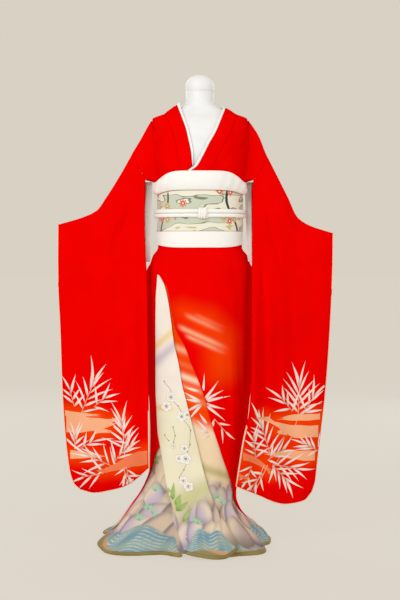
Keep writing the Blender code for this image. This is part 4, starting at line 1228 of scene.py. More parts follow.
def roll_radius(u, v):
    return ROLL * (1 + 0.03 * np.sin(260 * v) + 0.02 * np.sin(97 * v))


def roll_path(edge, start, end, lift=None):
    """The middle of a roll under a panel's lower edge, between two shares of that edge."""
    def centre(t):
        share = start + (end - start) * t
        place = edge(share)
        return points(place[:, 0], place[:, 1], 1.06 * ROLL + (lift(share) if lift else 0))

    return centre


def train_edge(t):
    phi = 106 + (360 - 2 * 106) * t
    return form_point(np.where(phi > 180, phi - 360, phi), np.full_like(t, HEM_EDGE))


def lower_edge(shape):
    return lambda t: shape(t, np.zeros_like(t))


olive_silk = silk("olive_hem_silk", srgb(150, 134, 82), grain=0.14, rough=0.60, tint=0.18)
for name, edge, start, end, lift, length in (
    ("turned_back", lower_edge(turnback_shape), 0.03, 0.95, turnback_lift, 0.30),
    ("left", lower_edge(overlap_shape), 0.04, 0.97, None, 0.45),
    ("right", lower_edge(flare_shape), 0.03, 0.96, None, 0.35),
    ("train", train_edge, 0.02, 0.98, None, 1.10),
):
    hem_roll = add_tube("hem_roll_silk_" + name, roll_path(edge, start, end, lift), roll_radius,
                        (16, int(320 * length)), length, olive_silk, node="hem_roll_" + name)
    print(hem_roll.name, "radius", ROLL)

# %% [markdown]
# ## Sleeve lining and piping
#
# The sleeve is open along its inner side, and there its pale lining turns out in a narrow strip.

# %% Lining strips and piping
STRIP_FOOT, STRIP_HEIGHT = 1.020, 0.286
PIPED_FROM, OUTER_FOOT, PIPING_RADIUS = 0.80, 0.215, 0.0018


def lining_strip_shape(side):
    shares = np.linspace(0, 1, 2001)
    heights = SLEEVE[side]["inner"](shares)[:, 1]

    def shape(u, v):
        z = STRIP_FOOT + STRIP_HEIGHT * v
        share = np.interp(-z, -heights, shares)
        edge = SLEEVE[side]["inner"](share)
        width = 0.013 + 0.012 * v ** 0.5
        x = edge[:, 0] + 0.0013 - SEAM_LEAN - width * u
        zero = np.zeros_like(u)
        y = sleeve_middle(side, zero, share, z) + sleeve_half(side, zero, share, edge) - WALL
        folds = 0.0016 * np.sin(3 * np.pi * u + 0.6 * np.sin(9 * z)) * v
        return points(SIGN[side] * x, y + 0.006 * u * v * (1 - fade(z, 1.265, 1.285)) - folds, z)

    return shape


def sleeve_edge(side, start, end, apart):
    """A path along a sleeve's edge between two pairs of shares, moved out at the open cuff."""
    shape = sleeve_shape(side)

    def centre(t):
        s, v = (a + (b - a) * t for a, b in zip(start, end))
        place = shape(s, v)
        depth = (CUFF_TOP[side] - place[:, 2]) / CUFF_HEIGHT
        place[:, 1] += apart * np.sin(np.pi * np.clip(depth, 0, 1)) * CUFF_OPEN
        return place

    return centre


piping_silk = silk("piping_silk", srgb(250, 214, 188), grain=0.05, rough=0.5, tint=0.03)
# Piped edges: name, shares round and down at both ends, side of the cuff, cells
PIPED_EDGES = (
    ("inner_front", (0, PIPED_FROM), (0, 1), 0, 60), ("inner_back", (1, PIPED_FROM), (1, 1), 0, 60),
    ("bottom", (0, 1), (0.5, 1), 0, 120), ("cuff_front", (0.5, 0), (0.5, OUTER_FOOT), -1, 90),
    ("cuff_back", (0.5, 0), (0.5, OUTER_FOOT), 1, 90), ("outer", (0.5, OUTER_FOOT), (0.5, 1), 0, 200),
)
for side in SIGN:
    strip = add_cloth("sleeve_lining_silk_" + side, lining_strip_shape(side), (8, 60), (0.02, 0.24), lining_silk,
                      "sleeve_lining_" + side, inside=far_behind)
    for kind, start, end, apart, count in PIPED_EDGES:
        add_tube("piping_" + kind + "_" + side, sleeve_edge(side, start, end, apart), PIPING_RADIUS, (8, count), 0.9,
                 piping_silk, side_from=(0, 1, 0), ends=0.01)
print("strips and piping", 2 * (1 + len(PIPED_EDGES)))

# %% [markdown]
# ## The sash group
#
# Round the waist lie a soft white lower sash, the stiff brocade obi, a puffed white scarf over
# its upper edge, and a double braided cord with a flat knot. Each is a closed ring whose
# section is drawn by two shares: one up the height and one out from the body.

# %% Sash shapes
BAND_GAP, OBI_THICK, OBI_BULGE, CORD_CLEAR, CORD_RADIUS = 0.0011, 0.0034, 0.0010, 0.0006, 0.0042
CORD_TALL = 0.0072
CORD_OUT = BAND_GAP + OBI_THICK + OBI_BULGE + CORD_CLEAR + CORD_RADIUS
# Lower and upper edge in front and at the sides, thickness in front and behind, bulge, roundness
Band = namedtuple("Band", "low high side_low side_high front_thick back_thick bulge round")
LOWER = Band(1.070, 1.1275, 1.080, 1.1275, 0.0034, 0.0034, 0.0016, 0.5)
OBI = Band(1.1285, 1.271, 1.1285, 1.258, OBI_THICK, OBI_THICK, OBI_BULGE, 0.25)
SCARF = Band(1.2725, 1.340, 1.2595, 1.306, 0.0100, 0.0034, 0.0060, 0.8)


def band_shape(band, folds):
    def shape(u, v):
        phi, turn = -180 + 360 * u, 2 * np.pi * v
        front = fade(np.cos(np.radians(phi)), 0.25, 0.95)
        low = band.side_low + (band.low - band.side_low) * front
        high = band.side_high + (band.high - band.side_high) * front
        thick = band.back_thick + (band.front_thick - band.back_thick) * front
        across = 0.5 - 0.5 * power(np.cos(turn), band.round)
        deep = 0.5 + 0.5 * power(np.sin(turn), 0.5 + 0.3 * band.round)
        swell = band.bulge * front * (1 - (2 * across - 1) ** 2) + folds(phi, across)
        out = BAND_GAP + thick * deep + swell * np.clip(2 * deep - 1, 0, 1)
        return form_point(phi, low + (high - low) * across, out)

    return shape


def lower_folds(phi, across):
    pleats = 0
    for place, slant, depth in ((0.22, 0.0010, -0.0011), (0.48, 0.0022, -0.0014), (0.74, -0.0008, -0.0010)):
        pleats = pleats + depth * bell(across, place + slant * phi, 0.055)
    return pleats + 0.0007 * np.sin(0.21 * phi + 5 * across) * (0.4 + 0.6 * fade(phi, -10, 60))


def scarf_folds(phi, across):
    gather = 0.0012 * np.sin(0.16 * phi + 6.0 * across) + 0.0008 * np.sin(0.43 * phi - 4.0 * across)
    return gather * fade(np.abs(phi), 4, 30) + 0.0150 * bell(np.abs(phi), 74, 23)


def obi_folds(phi, across):
    return -0.0007 * fade(across, 0.90, 0.93) + 0.0004 * np.sin(0.10 * phi + 2.0 * across)


# %% [markdown]
# The brocade's own picture belongs to its weaver, so the obi carries a plain traditional ground
# instead: drifting cloud bands and scattered round flowers in like colours, in another layout.

# %% Brocade material
FLOWER_CELLS = {"Scale": 21.0, "Randomness": 0.75}


def opaque(*tone):
    return (*srgb(*tone), 1)


def brocade(name):
    """A woven ground of cloud bands, two bent lines and round flowers over a fine rib."""
    material, shader, start = new_material(name, Specular_IOR_Level=0.35, Sheen_Weight=0.08)
    uv = start.node("ShaderNodeUVMap", {"uv_map": "cloth"})
    ground = start.node("ShaderNodeRGB")
    ground.socket.default_value = opaque(204, 209, 188)
    stretched = start.node("ShaderNodeMapping", Vector=uv, Scale=(7.0, 22.0, 1.0))
    drift = start.node("ShaderNodeTexNoise", Vector=stretched, Scale=1.1, Detail=1.5)
    colour = drift.step(0.50, 0.515).blend(ground, opaque(240, 234, 216))
    outline = drift.step(0.492, 0.50) * (1 - drift.step(0.512, 0.52))
    colour = outline.blend(colour, opaque(128, 126, 104))
    colour = drift.step(0.66, 0.67).blend(colour, opaque(206, 192, 128))
    spread = start.node("ShaderNodeSeparateXYZ", Vector=uv)
    height = spread.output(1)
    for place, lean, half, tone in ((0.565, 0.030, 0.0050, (44, 48, 50)), (0.318, -0.022, 0.0035, (62, 66, 64))):
        bend = (height * 24.0).math("SINE") * lean + place
        gap = (spread - bend).math("ABSOLUTE")
        colour = (1 - gap.step(half, half + 0.0006)).blend(colour, opaque(*tone))
    cells, tone = (
        start.node("ShaderNodeTexVoronoi", {"feature": "F1"}, out=out, Vector=uv, **FLOWER_CELLS) for out in (2, 1))
    scaled = start.node("ShaderNodeVectorMath", {"operation": "SUBTRACT"}, i0=uv, i1=cells)
    x = scaled.node("ShaderNodeSeparateXYZ", Vector=scaled)
    y = x.output(1)
    angle = x.node("ShaderNodeMath", {"operation": "ARCTAN2"}, i0=y, i1=x)
    reach = x.node("ShaderNodeMath", {"operation": "SQRT"}, i0=x * x + y * y)
    petal = (angle * 8.0).math("COSINE") * 0.0018 + 0.0125
    flower = 1 - (reach - petal).step(-0.0004, 0.0004)
    hue = tone.node("ShaderNodeSeparateXYZ", Vector=tone)
    warm = hue.step(0.45, 0.55).blend(opaque(190, 160, 96), opaque(214, 84, 50))
    ring = (1 - reach.step(0.0032, 0.0036)) + reach.step(0.0088, 0.0092) * (1 - reach.step(0.0100, 0.0104))
    rimmed = ring.blend(warm, opaque(248, 238, 210))
    shown = flower * hue.output(1).step(0.55, 0.56)
    colour = shown.blend(colour, rimmed)
    rib = start.node("ShaderNodeTexWave", {"wave_type": "BANDS", "bands_direction": "X"}, Vector=uv, Scale=420.0,
                     Distortion=1.0, Detail=1.0)
    bump = start.node("ShaderNodeBump", Height=rib + shown * 0.8 + drift.step(0.49, 0.52) * 0.5, Strength=0.22,
                      Distance=0.0005)
    connect(start, colour, shader, "Base Color")
    connect(start, rib * 0.10 + 0.42, shader, "Roughness")
    connect(start, bump, shader, "Normal")
    return material


brocade_silk = brocade("obi_brocade_weave")
lower_sash = add_ring("lower_sash_silk", band_shape(LOWER, lower_folds), (240, 40), (0.92, 0.12), white_silk,
                      "lower_sash", True)
obi = add_ring("obi_brocade_band", band_shape(OBI, obi_folds), (240, 48), (0.90, 0.29), brocade_silk,
               "obi", True)
scarf = add_ring("obi_scarf", band_shape(SCARF, scarf_folds), (300, 40), (0.92, 0.14), white_silk,
                 "obi_age", True)
print("sash pieces", lower_sash.name, obi.name, scarf.name)

# %% Cords and knot
def cord_centre(height):
    return lambda t: form_point(-180 + 360 * t, np.full_like(t, height), CORD_OUT)


def braided(u, v):
    """A flat braid's surface: an oval section with two families of crossing ridges."""
    turn, run = 2 * np.pi * u, v * 2 * np.pi * 130
    oval = 1 / np.hypot(np.cos(turn) / CORD_RADIUS, np.sin(turn) / CORD_TALL)
    return oval * (0.97 + 0.05 * np.abs(np.sin(turn + run)) * np.abs(np.sin(turn - run)))


cord_silk = silk("braided_cord_silk", srgb(249, 247, 244), grain=0.25, rough=0.5, thread=900.0, tint=0.02)
for name, height in (("obijime_upper", 1.1985), ("obijime_lower", 1.1835)):
    add_tube(name + "_braid", cord_centre(height), braided, (16, 900), 0.95, cord_silk, ends=0.0,
             node=name)

KNOT = form_point(np.array([2.5]), np.array([1.191]), CORD_OUT + CORD_RADIUS)[0]


def knot_wrap(t):
    """Three turns of cord round the two strands, drawn tight side by side."""
    turn = 2 * np.pi * (3 * t - 0.25)
    x, y = KNOT[0] - 0.014 + 0.028 * t, KNOT[1] - 0.0012 - 0.0056 * np.cos(turn)
    return points(x, y, KNOT[2] + 0.0150 * np.sin(turn))


def knot_tail(t):
    """The cord's end, tucked up beside the knot."""
    x, y = KNOT[0] + 0.012 * np.cos(2.6 * t), KNOT[1] - 0.0078 + 0.001 * t
    return points(x, y, KNOT[2] + 0.009 * np.sin(2.6 * t) - 0.002)


add_tube("obijime_knot_wrap", knot_wrap, 0.0052, (12, 160), 0.2, cord_silk, side_from=(1, 0, 0),
         ends=0.03, node="obijime_knot")
add_tube("obijime_knot_tail", knot_tail, 0.0036, (12, 60), 0.05, cord_silk, side_from=(0, 1, 0),
         ends=0.10)
print("knot at", KNOT.round(3))

# %% Drum at the back
DRUM_WIDTH, DRUM_LOW, DRUM_HIGH, DRUM_DEPTH = 0.290, 1.085, 1.345, 0.082
DRUM_NEAR = float(SIZE["back"](1.20)) + BAND_GAP + OBI_THICK + 2 * CORD_RADIUS + OBI_BULGE + 0.0008
DRUM_MIDDLE = (DRUM_LOW + DRUM_HIGH) / 2


def drum_shape(u, v):
    far = DRUM_NEAR + DRUM_DEPTH
    turn = 2 * np.pi * v
    y = (DRUM_NEAR + far) / 2 + (far - DRUM_NEAR) / 2 * power(np.cos(turn), 0.42)
    z = DRUM_MIDDLE + (DRUM_HIGH - DRUM_LOW) / 2 * power(np.sin(turn), 0.36)
    sag = 0.006 * np.cos(np.pi * (u - 0.5)) * np.where(z > DRUM_MIDDLE, 1, 0.4)
    soft = 0.0016 * np.sin(3 * np.pi * u + 1.0) * np.sin(np.pi * np.clip((z - DRUM_LOW) / 0.26, 0, 1))
    return points((u - 0.5) * DRUM_WIDTH, y + soft * (y > 0.19), z + sag)


def drum_middle(places):
    return points(places[:, 0], DRUM_NEAR + DRUM_DEPTH / 2, DRUM_MIDDLE)


drum = add_cloth("obi_drum_loop", drum_shape, (60, 160), (0.29, 0.66), brocade_silk, "obi_drum",
                 wall=0.0025, inside=drum_middle)
print("loop stands", round(DRUM_NEAR, 3), "m behind the middle")

# %% [markdown]
# ## The dress form and its stand
#
# The form is a smooth shell on a pole with a flat round base. Its neck and cap show above the
# collar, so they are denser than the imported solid. The pole and base are turned profiles.

# %% Form pieces
def form_finish(name, tone, rough):
    material, shader, start = new_material(name, Specular_IOR_Level=0.4)
    place = start.node("ShaderNodeTexCoord", out=3)
    fine = start.node("ShaderNodeTexNoise", Vector=place, Scale=900.0, Detail=2.0)
    broad = start.node("ShaderNodeTexNoise", Vector=place, Scale=14.0, Detail=2.0)
    shade = tuple(c * 0.94 for c in tone)
    connect(start, broad.step(0.3, 0.7).blend((*tone, 1), (*shade, 1)), shader, "Base Color")
    connect(start, broad * 0.10 + (rough - 0.05), shader, "Roughness")
    connect(start, start.node("ShaderNodeBump", Height=fine, Strength=0.08, Distance=0.0003), shader, "Normal")
    return material


form_white = form_finish("form_white_cover", srgb(242, 242, 244), 0.5)
stand_grey = form_finish("stand_grey_paint", srgb(222, 222, 224), 0.4)
FORM_LOW, SHOULDERS_TOP, NECK_RADIUS, NECK_TOP = 0.900, 1.592, 0.051, 1.630


def torso_shape(u, v):
    """The form's section, a little inside the cloth, closing to the round neck."""
    rise = np.minimum(v / 0.95, 1)
    z = FORM_LOW + (SHOULDERS_TOP - FORM_LOW) * (1 - (1 - rise) ** 1.5)
    turn = np.radians(-180 + 360 * u)
    clear = 0.005 + 0.0075 * (1 - fade(z, 1.32, 1.42))
    look = np.minimum(z + clear, 1.60)
    neck = fade(z, 1.555, 1.59)
    across, deep = half_width(np.sin(turn), look) - clear, half_reach(np.cos(turn), look) - clear
    across, deep = across + (NECK_RADIUS - across) * neck, deep + (NECK_RADIUS - deep) * neck
    exponent = 2 / (ROUNDNESS + (2 - ROUNDNESS) * neck)
    return points(across * power(np.sin(turn), exponent), -deep * power(np.cos(turn), exponent),
                  z + (NECK_TOP - SHOULDERS_TOP) * np.clip((v - 0.95) / 0.05, 0, 1))


torso = cloth_grid(torso_shape, (128, 90), (1, 1))
bmesh.ops.holes_fill(torso, edges=[edge for edge in torso.edges if edge.is_boundary])
bmesh.ops.recalc_face_normals(torso, faces=torso.faces)
mesh_piece("dress_form_torso", torso, form_white, "form_torso")


def turned(name, profile, material, node, steps=96):
    """A profile of (radius, z) spun round the upright axis."""
    line = bmesh.new()
    verts = [line.verts.new((radius, 0, z)) for radius, z in profile]
    for here, there in zip(verts, verts[1:]):
        line.edges.new((here, there))
    bmesh.ops.spin(line, geom=line.verts[:] + line.edges[:], cent=(0, 0, 0), axis=(0, 0, 1), angle=2 * math.pi,
                   steps=steps, use_merge=True)
    bmesh.ops.remove_doubles(line, verts=line.verts, dist=MERGE)
    bmesh.ops.recalc_face_normals(line, faces=line.faces)
    piece = mesh_piece(name, line, material, node)
    piece.data.set_sharp_from_angle(angle=math.radians(40))


def quarter(radius, z, wide, high, count):
    """A quarter of an oval, from the top outwards."""
    return [(radius + wide * math.sin(a), z + high * math.cos(a)) for a in np.linspace(0, math.pi / 2, count)]


turned("dress_form_cap", quarter(0, 1.650, 0.0515, 0.040, 18) + [(0.0515, 1.636), (0.0507, 1.6335), (0.049, 1.6303),
       (0, 1.6303)], form_white, "form_cap")
turned("dress_form_pole", [(0.0, 0.8997), (0.0175, 0.8997), (0.0175, 0.0123), (0.0, 0.0123)], stand_grey,
       "form_pole", 48)
turned("dress_form_base", [(0.0, 0.012)] + quarter(0.108, 0, 0.012, 0.012, 7) + [(0.118, 0.0), (0.0, 0.0)],
       stand_grey, "form_base")
print("form pieces done")

# %% [markdown]
# ## Motifs
#
# Bamboo leaves, plum blossoms and small greens are dyed on the silk. Crisp edges need more
# points than a big cloth can carry, so each motif is a thin patch of its own. It is drawn flat,
# as seen from the front or the back, and then cast onto the cloth below it.

# %% Motif helpers
CAST_FROM, STEEPEST, PATCH_LIFT, PATCH_STEP, THIN_END = 1.2, 0.15, 0.0003, 0.000004, 0.0065
INK, STEM, TWIG, DOT = srgb(186, 180, 172), srgb(238, 190, 160), srgb(150, 120, 90), srgb(70, 64, 64)
HEART_RIM, HEART, STAMEN = srgb(120, 108, 104), srgb(226, 190, 170), srgb(90, 80, 80)
# Leaf colours at the tip and at the stem
BAMBOO = (LEAF_WHITE, srgb(196, 168, 146))
FRESH = (srgb(170, 196, 116), srgb(112, 150, 82))
MINT = (srgb(176, 214, 184), srgb(92, 150, 112))


def toward(heading):
    a = math.radians(heading)
    return math.cos(a), math.sin(a)


class Motifs:
    """Thin painted patches, cast onto one cloth from the front (-1) or the back (1)."""

    def __init__(self, name, target, facing):
        self.name, self.target, self.facing = name, target, facing
        self.grid = bmesh.new()
        self.tone = self.grid.verts.layers.float_color.new("paint")
        self.layer = self.grid.verts.layers.float.new("layer")
        self.random = np.random.default_rng(sum(map(ord, name)))
        self.count = 0

    def patch(self, cells, shape, tone):
        """A grid set flat by shape(u, v), with u from -1 to 1, and coloured by tone(u, v)."""
        made = bmesh.ops.create_grid(self.grid, x_segments=cells[0], y_segments=cells[1], size=0.5)["verts"]
        self.count += 1
        for vert in made:
            u, v = vert.co.x * 2, vert.co.y + 0.5
            x, z = shape(u, v)
            vert.co = (x, 0, z)
            vert[self.tone] = (*tone(u, v), 1)
            vert[self.layer] = PATCH_LIFT + PATCH_STEP * self.count

    def leaf(self, x, z, heading, length, width, tones, curve=0.0):
        ahead = toward(heading)
        pale, dark = tones

        def shape(u, v):
            half = width / 2 * math.sin(math.pi * v ** 0.62) ** 1.1 * u if 0 < v < 1 else 0
            aside = half + curve * length * math.sin(math.pi * v * 0.6)
            return x + ahead[0] * length * v - ahead[1] * aside, z + ahead[1] * length * v + ahead[0] * aside

        def tone(u, v):
            mix = min(0.9 * max(0.0, 1 - v / 0.35) ** 1.3 + 0.30 * (u > 0.3), 1)
            return tuple(p + (d - p) * mix for p, d in zip(pale, dark))

        self.patch((2, 10), shape, tone)

    def stroke(self, path, tone):
        """A brush stroke along a path of (x, z, half width): a thin end splits in hairs, a wide one is cut."""
        length = np.concatenate([[0], np.cumsum(np.hypot(*np.diff(np.array(path)[:, :2], axis=0).T))])
        reads = [smooth_column(length, [row[i] for row in path]) for i in range(3)]
        phase = self.random.uniform(0, 6, 4)
        onward = math.copysign(1, path[-1][0] - path[0][0])
        split = [row[2] < THIN_END for row in (path[0], path[-1])]

        def shape(u, v):
            cx, cz, half = (float(read(v * length[-1])) for read in reads)
            ragged = 1 + 0.07 * math.sin(7 * v + phase[0]) + 0.04 * math.sin(17 * v + phase[1])
            hair = length[-1] * (0.10 * math.sin(4 * u + phase[2]) + 0.06 * math.sin(11 * u + phase[3]))
            return cx + onward * hair * (2 * v - 1) ** 3 * split[v > 0.5], cz + half * ragged * u

        self.patch((8, 36), shape, lambda u, v: tone)

    def line(self, spots, width, colour):
        path = along(spots)
        wide = np.array([path(t) for t in np.linspace(0, 1, 25)])

        def shape(u, v):
            i = min(int(v * 24 + 0.5), 24)
            ahead = wide[min(i + 1, 24)] - wide[max(i - 1, 0)]
            ahead = ahead / np.hypot(*ahead)
            return wide[i][0] - ahead[1] * u * width / 2, wide[i][1] + ahead[0] * u * width / 2

        self.patch((1, 24), shape, lambda u, v: colour)

    def disc(self, x, z, radius, rim, core):
        def shape(u, v):
            w = 2 * v - 1
            return x + radius * u * math.sqrt(1 - w * w / 2), z + radius * w * math.sqrt(1 - u * u / 2)

        def tone(u, v):
            far = min(max(abs(u), abs(2 * v - 1)), 1)
            return tuple(c + (r - c) * far for c, r in zip(core, rim))

        self.patch((4, 4), shape, tone)

    def wreath(self, x, z, out, turn, count, radius, tone):
        """Discs of one colour, set evenly round a centre."""
        for k in range(count):
            cos, sin = toward(turn + 360 // count * k)
            self.disc(x + out * cos, z + out * sin, radius, tone, tone)

    def blossom(self, x, z, radius):
        """Five petals with a thin outline, a heart and ten stamens."""
        turn = self.random.uniform(0, 72)
        self.wreath(x, z, 0.55 * radius, turn, 5, 0.44 * radius + 0.0007, INK)
        self.wreath(x, z, 0.55 * radius, turn, 5, 0.44 * radius, BLOSSOM)
        self.disc(x, z, 0.27 * radius, HEART_RIM, HEART)
        self.wreath(x, z, 0.48 * radius, turn, 10, 0.045 * radius + 0.0003, STAMEN)

    def spray(self, x, z, heading, spread, leaves, length, width, tones):
        """Leaves that spread from one node of a stem."""
        for i in range(leaves):
            share = (i + 0.5) / leaves - 0.5
            turn = heading + spread * share + self.random.uniform(-6, 6)
            size = length * self.random.uniform(0.72, 1.08) * (1 - 0.35 * abs(share))
            self.leaf(x, z, turn, size, width * self.random.uniform(0.85, 1.2), tones, self.random.uniform(-0.08, 0.08))

    def twig(self, x, z, heading, reach, leaves, length):
        """A thin stem of bamboo with leaves set alternately along it."""
        cos, sin = toward(heading)
        self.line([(x + share * reach * cos, z + share * reach * sin) for share in (0, 0.5, 1)], 0.0018, STEM)
        for i in range(leaves - 1):
            share = i / (leaves - 2)
            side = 1 if i % 2 else -1
            turn = heading + side * (62 - 44 * share) + self.random.uniform(-9, 9)
            size = length * self.random.uniform(0.90, 1.40)
            self.leaf(x + share * reach * cos, z + share * reach * sin, turn, size,
                      0.0082 * self.random.uniform(0.8, 1.15), BAMBOO, -0.07 * side)

    def finish(self):
        """Casts the patches onto the cloth and drops the points that miss it or meet it too steeply."""
        mesh = self.target.data
        tree = BVHTree.FromPolygons([v.co for v in mesh.vertices], [p.vertices for p in mesh.polygons])
        missed = []
        for vert in self.grid.verts:
            spot, normal, _face, _far = tree.ray_cast(
                Vector((vert.co.x, self.facing * CAST_FROM, vert.co.z)), Vector((0, -self.facing, 0)))
            if spot is None or abs(normal.y) < STEEPEST:
                missed.append(vert)
                continue
            if normal.y * self.facing < 0:
                normal = -normal
            vert.co = spot + normal * vert[self.layer]
        bmesh.ops.delete(self.grid, geom=missed, context="VERTS")
        self.grid.normal_update()
        flipped = [face for face in self.grid.faces if face.normal.y * self.facing < 0]
        bmesh.ops.reverse_faces(self.grid, faces=flipped)
        uv = self.grid.loops.layers.uv.new("cloth")
        for face in self.grid.faces:
            for loop in face.loops:
                loop[uv].uv = (loop.vert.co.x, loop.vert.co.z)
        made = mesh_piece(self.name, self.grid, painted_silk)
        print(made.name, len(made.data.polygons), "faces")


# %% Motifs on the sleeves
# Distance from the middle and height, heading as on the left, reach, leaves, leaf length, in millimetres
SLEEVE_TWIGS = {
    "right": (
        (425, 480, 112, 120, 12, 78), (452, 500, 75, 60, 7, 60), (380, 500, 140, 50, 6, 62),
        (452, 345, 92, 50, 8, 58), (430, 350, 150, 50, 6, 62), (268, 345, 84, 105, 11, 70), (250, 360, 66, 70, 7, 56),
        (310, 300, 128, 60, 7, 62), (300, 282, 22, 110, 10, 72), (270, 262, 215, 40, 6, 60),
        (345, 262, -12, 70, 7, 62), (262, 290, 262, 55, 7, 48),
    ),
    "left": (
        (352, 470, 88, 115, 13, 78), (372, 480, 58, 70, 8, 64), (330, 485, 128, 60, 7, 62),
        (252, 330, 108, 130, 13, 66), (196, 330, 96, 70, 8, 50), (258, 300, -14, 90, 9, 72),
        (262, 292, -48, 70, 8, 66), (240, 318, 30, 60, 7, 58), (430, 336, 150, 60, 9, 52), (182, 300, 250, 50, 6, 44),
        (222, 268, 230, 60, 7, 46),
    ),
}
SLEEVE_STEMS = {
    "right": (((425, 480), (440, 400), (452, 345)), ((268, 345), (272, 300), (262, 240))),
    "left": (((352, 470), (330, 400), (262, 292)), ((240, 300), (212, 240), (196, 206)),
             ((228, 300), (200, 236), (186, 206))),
}
for side, sign in SIGN.items():
    for facing, label in ((-1, "front"), (1, "back")):
        drawn = Motifs("bamboo_sleeve_" + side + "_" + label, sleeve[side], facing)
        strokes = [([(sign * x, z, half) for x, z, half in path], tone) for tone, path in MIST[side]]
        for path, tone in strokes[:-1]:
            drawn.stroke(path, tone)
        for stem in mm(SLEEVE_STEMS[side]):
            drawn.line([(sign * x, z) for x, z in stem], 0.0022, STEM)
        for x, z, heading, reach, leaves, length in SLEEVE_TWIGS[side]:
            drawn.twig(sign * x / 1000, z / 1000, heading if side == "left" else 180 - heading, reach / 1000, leaves,
                       length / 1000)
        drawn.stroke(*strokes[-1])
        drawn.finish()

# %% Motifs on the body
drawn = Motifs("bamboo_front", body["left"], -1)
for heading, length, bend in (
    (88, 0.105, -0.05), (56, 0.098, -0.06), (26, 0.090, 0.05), (8, 0.104, 0.06), (-14, 0.088, -0.05),
    (-42, 0.110, 0.05), (112, 0.060, 0.04), (-66, 0.060, 0.06),
):
    drawn.leaf(0.006, 0.528, heading, length, 0.0095, BAMBOO, bend)
drawn.twig(0.050, 0.470, -50, 0.060, 5, 0.048)
drawn.finish()
for side, sign in SIGN.items():
    drawn = Motifs("bamboo_back_" + side, body[side], 1)
    for x, z, heading in ((0.070, 0.46, 84), (0.115, 0.40, 60), (0.040, 0.40, 120), (0.090, 0.36, -20)):
        drawn.twig(sign * x, z, heading, 0.110, 11, 0.074)
    drawn.finish()

# %% Motifs on the panels
# Plum twigs and blossoms (x, z, radius) in millimetres
PLUM_TWIGS = (
    ((-128, 600), (-100, 560), (-112, 535)), ((-100, 535), (-78, 515), (-62, 490)),
    ((-60, 470), (-34, 430), (-36, 380), (-46, 355)),
    ((-40, 330), (-58, 290), (-74, 262)), ((-96, 440), (-88, 410), (-94, 385)),
    ((-126, 410), (-112, 392)),
)
PLUM_BLOSSOMS = (
    (-102, 545, 17.5), (-118, 512, 18.5), (-64, 478, 18), (-44, 484, 15), (-54, 366, 15), (-74, 330, 15),
    (-50, 330, 20), (-58, 252, 16.5), (-40, 234, 18), (-94, 372, 7),
)
drawn = Motifs("plum_turned_back", panel["turned_back_lining"], -1)
for spots in mm(PLUM_TWIGS):
    drawn.line(spots, 0.0012, TWIG)
    for x, z in spots:
        drawn.disc(x + 0.002, z, 0.0018, DOT, DOT)
for x, z, radius in mm(PLUM_BLOSSOMS):
    drawn.blossom(x, z, radius)
for x, z, heading, length in ((-0.096, 0.186, 82, 0.062), (-0.094, 0.190, 112, 0.044), (-0.080, 0.148, 74, 0.058),
                              (-0.076, 0.150, 40, 0.050), (-0.060, 0.118, 50, 0.056), (-0.086, 0.170, 60, 0.040)):
    drawn.leaf(x, z, heading, length, 0.0150, FRESH, 0.06)
for x, z, heading in ((-0.022, 0.118, 90), (-0.008, 0.112, 70)):
    drawn.spray(x, z, heading, 150, 7, 0.026, 0.0036, MINT)
drawn.finish()

drawn = Motifs("leaves_overlap_left", panel["okumi_left"], -1)
for x, z, heading, length, bend in (
    (0.004, 0.530, 148, 0.072, 0.05), (0.002, 0.528, 172, 0.060, -0.05), (0.004, 0.524, 205, 0.074, 0.05),
    (0.008, 0.522, 232, 0.080, -0.04), (-0.002, 0.566, 160, 0.056, 0.06), (0.030, 0.418, 134, 0.066, -0.05),
    (0.028, 0.420, 160, 0.048, 0.05), (0.034, 0.410, 196, 0.044, 0.05), (0.026, 0.450, 122, 0.050, 0.06),
):
    drawn.leaf(x, z, heading, length, 0.0092, BAMBOO, bend)
for x, z, heading in ((0.062, 0.190, 100), (0.074, 0.172, 60), (0.128, 0.150, 110), (0.030, 0.126, 80)):
    drawn.spray(x, z, heading, 160, 8, 0.030, 0.0038, MINT)
drawn.finish()

drawn = Motifs("greens_overlap_right", panel["okumi_right"], -1)
for x, z, heading in ((-0.158, 0.210, 80), (-0.182, 0.150, 110), (-0.170, 0.138, 30), (-0.214, 0.112, 90)):
    drawn.spray(x, z, heading, 160, 8, 0.032, 0.0040, MINT)
for x, z, heading in ((-0.150, 0.300, 96), (-0.160, 0.262, 110)):
    drawn.leaf(x, z, heading, 0.060, 0.0110, FRESH, 0.05)
drawn.finish()
print("all pieces", len(PIECES))

# %% [markdown]
# ## Stage, light and camera
#
# The light is flat and bright, as in a studio with pale walls. A wide floor and a sky of
# one pale tone give the same from every side, with big soft lamps round the garment. The floor
# glows a little in the sky's tone, so that no horizon line is seen behind the garment.

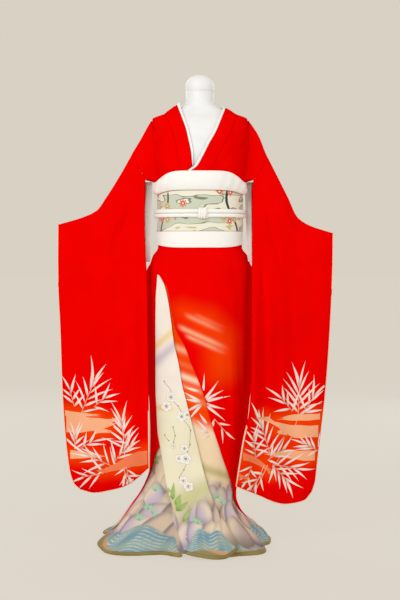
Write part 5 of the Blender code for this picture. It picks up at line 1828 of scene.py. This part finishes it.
# %% Stage
PAPER, FLOOR_GREY, COOL = srgb(216, 209, 196), (0.12, 0.12, 0.12), (0.86, 0.94, 1.0)
FLOOR_DROP, FLOOR_HALF = 0.0006, 60
floor_grid = bmesh.new()
bmesh.ops.create_grid(floor_grid, x_segments=4, y_segments=4, size=FLOOR_HALF)
floor_mesh = bpy.data.meshes.new("studio_floor")
floor_grid.to_mesh(floor_mesh)
floor_grid.free()
floor_mesh.materials.append(new_material(
    "studio_floor", Base_Color=(*FLOOR_GREY, 1), Roughness=0.95, Specular_IOR_Level=0.02,
    Emission_Color=(*PAPER, 1), Emission_Strength=0.88)[0])
floor = bpy.data.objects.new("studio_floor", floor_mesh)
floor.location.z = -FLOOR_DROP
bpy.context.scene.collection.objects.link(floor)


def set_up(name, data, place, aim_height):
    """A lamp or camera at a place, turned to a point of the garment's upright axis."""
    made = bpy.data.objects.new(name, data)
    made.location = place
    made.rotation_euler = (Vector((0, 0, aim_height)) - Vector(place)).to_track_quat("-Z", "Y").to_euler()
    bpy.context.scene.collection.objects.link(made)
    return made


for name, place, aim_height, size, watts in (
    ("key", (-2.4, -4.4, 3.2), 0.8, 2.2, 112), ("fill", (2.8, -4.0, 1.6), 0.8, 3.0, 30),
    ("back_left", (-2.4, 4.2, 2.8), 0.9, 2.6, 60), ("back_right", (2.6, 4.0, 1.8), 0.8, 2.8, 42),
):
    light = bpy.data.lights.new(name, "AREA")
    light.shape, light.size, light.energy, light.color = "SQUARE", size, watts, COOL
    set_up(name, light, place, aim_height)
world = bpy.data.worlds.new("studio")
world.use_nodes = True
world.node_tree.nodes["Background"].inputs["Color"].default_value = (*PAPER, 1)
world.node_tree.nodes["Background"].inputs["Strength"].default_value = 1.0
bpy.context.scene.world = world

view = bpy.data.cameras.new("camera")
view.sensor_fit, view.sensor_height, view.lens = "VERTICAL", 36, 83.3
bpy.context.scene.camera = set_up("camera", view, (0, -5.0, 1.05), 0.882)
bpy.context.scene.view_settings.view_transform = "Standard"
print("lamps", len(bpy.data.lights))
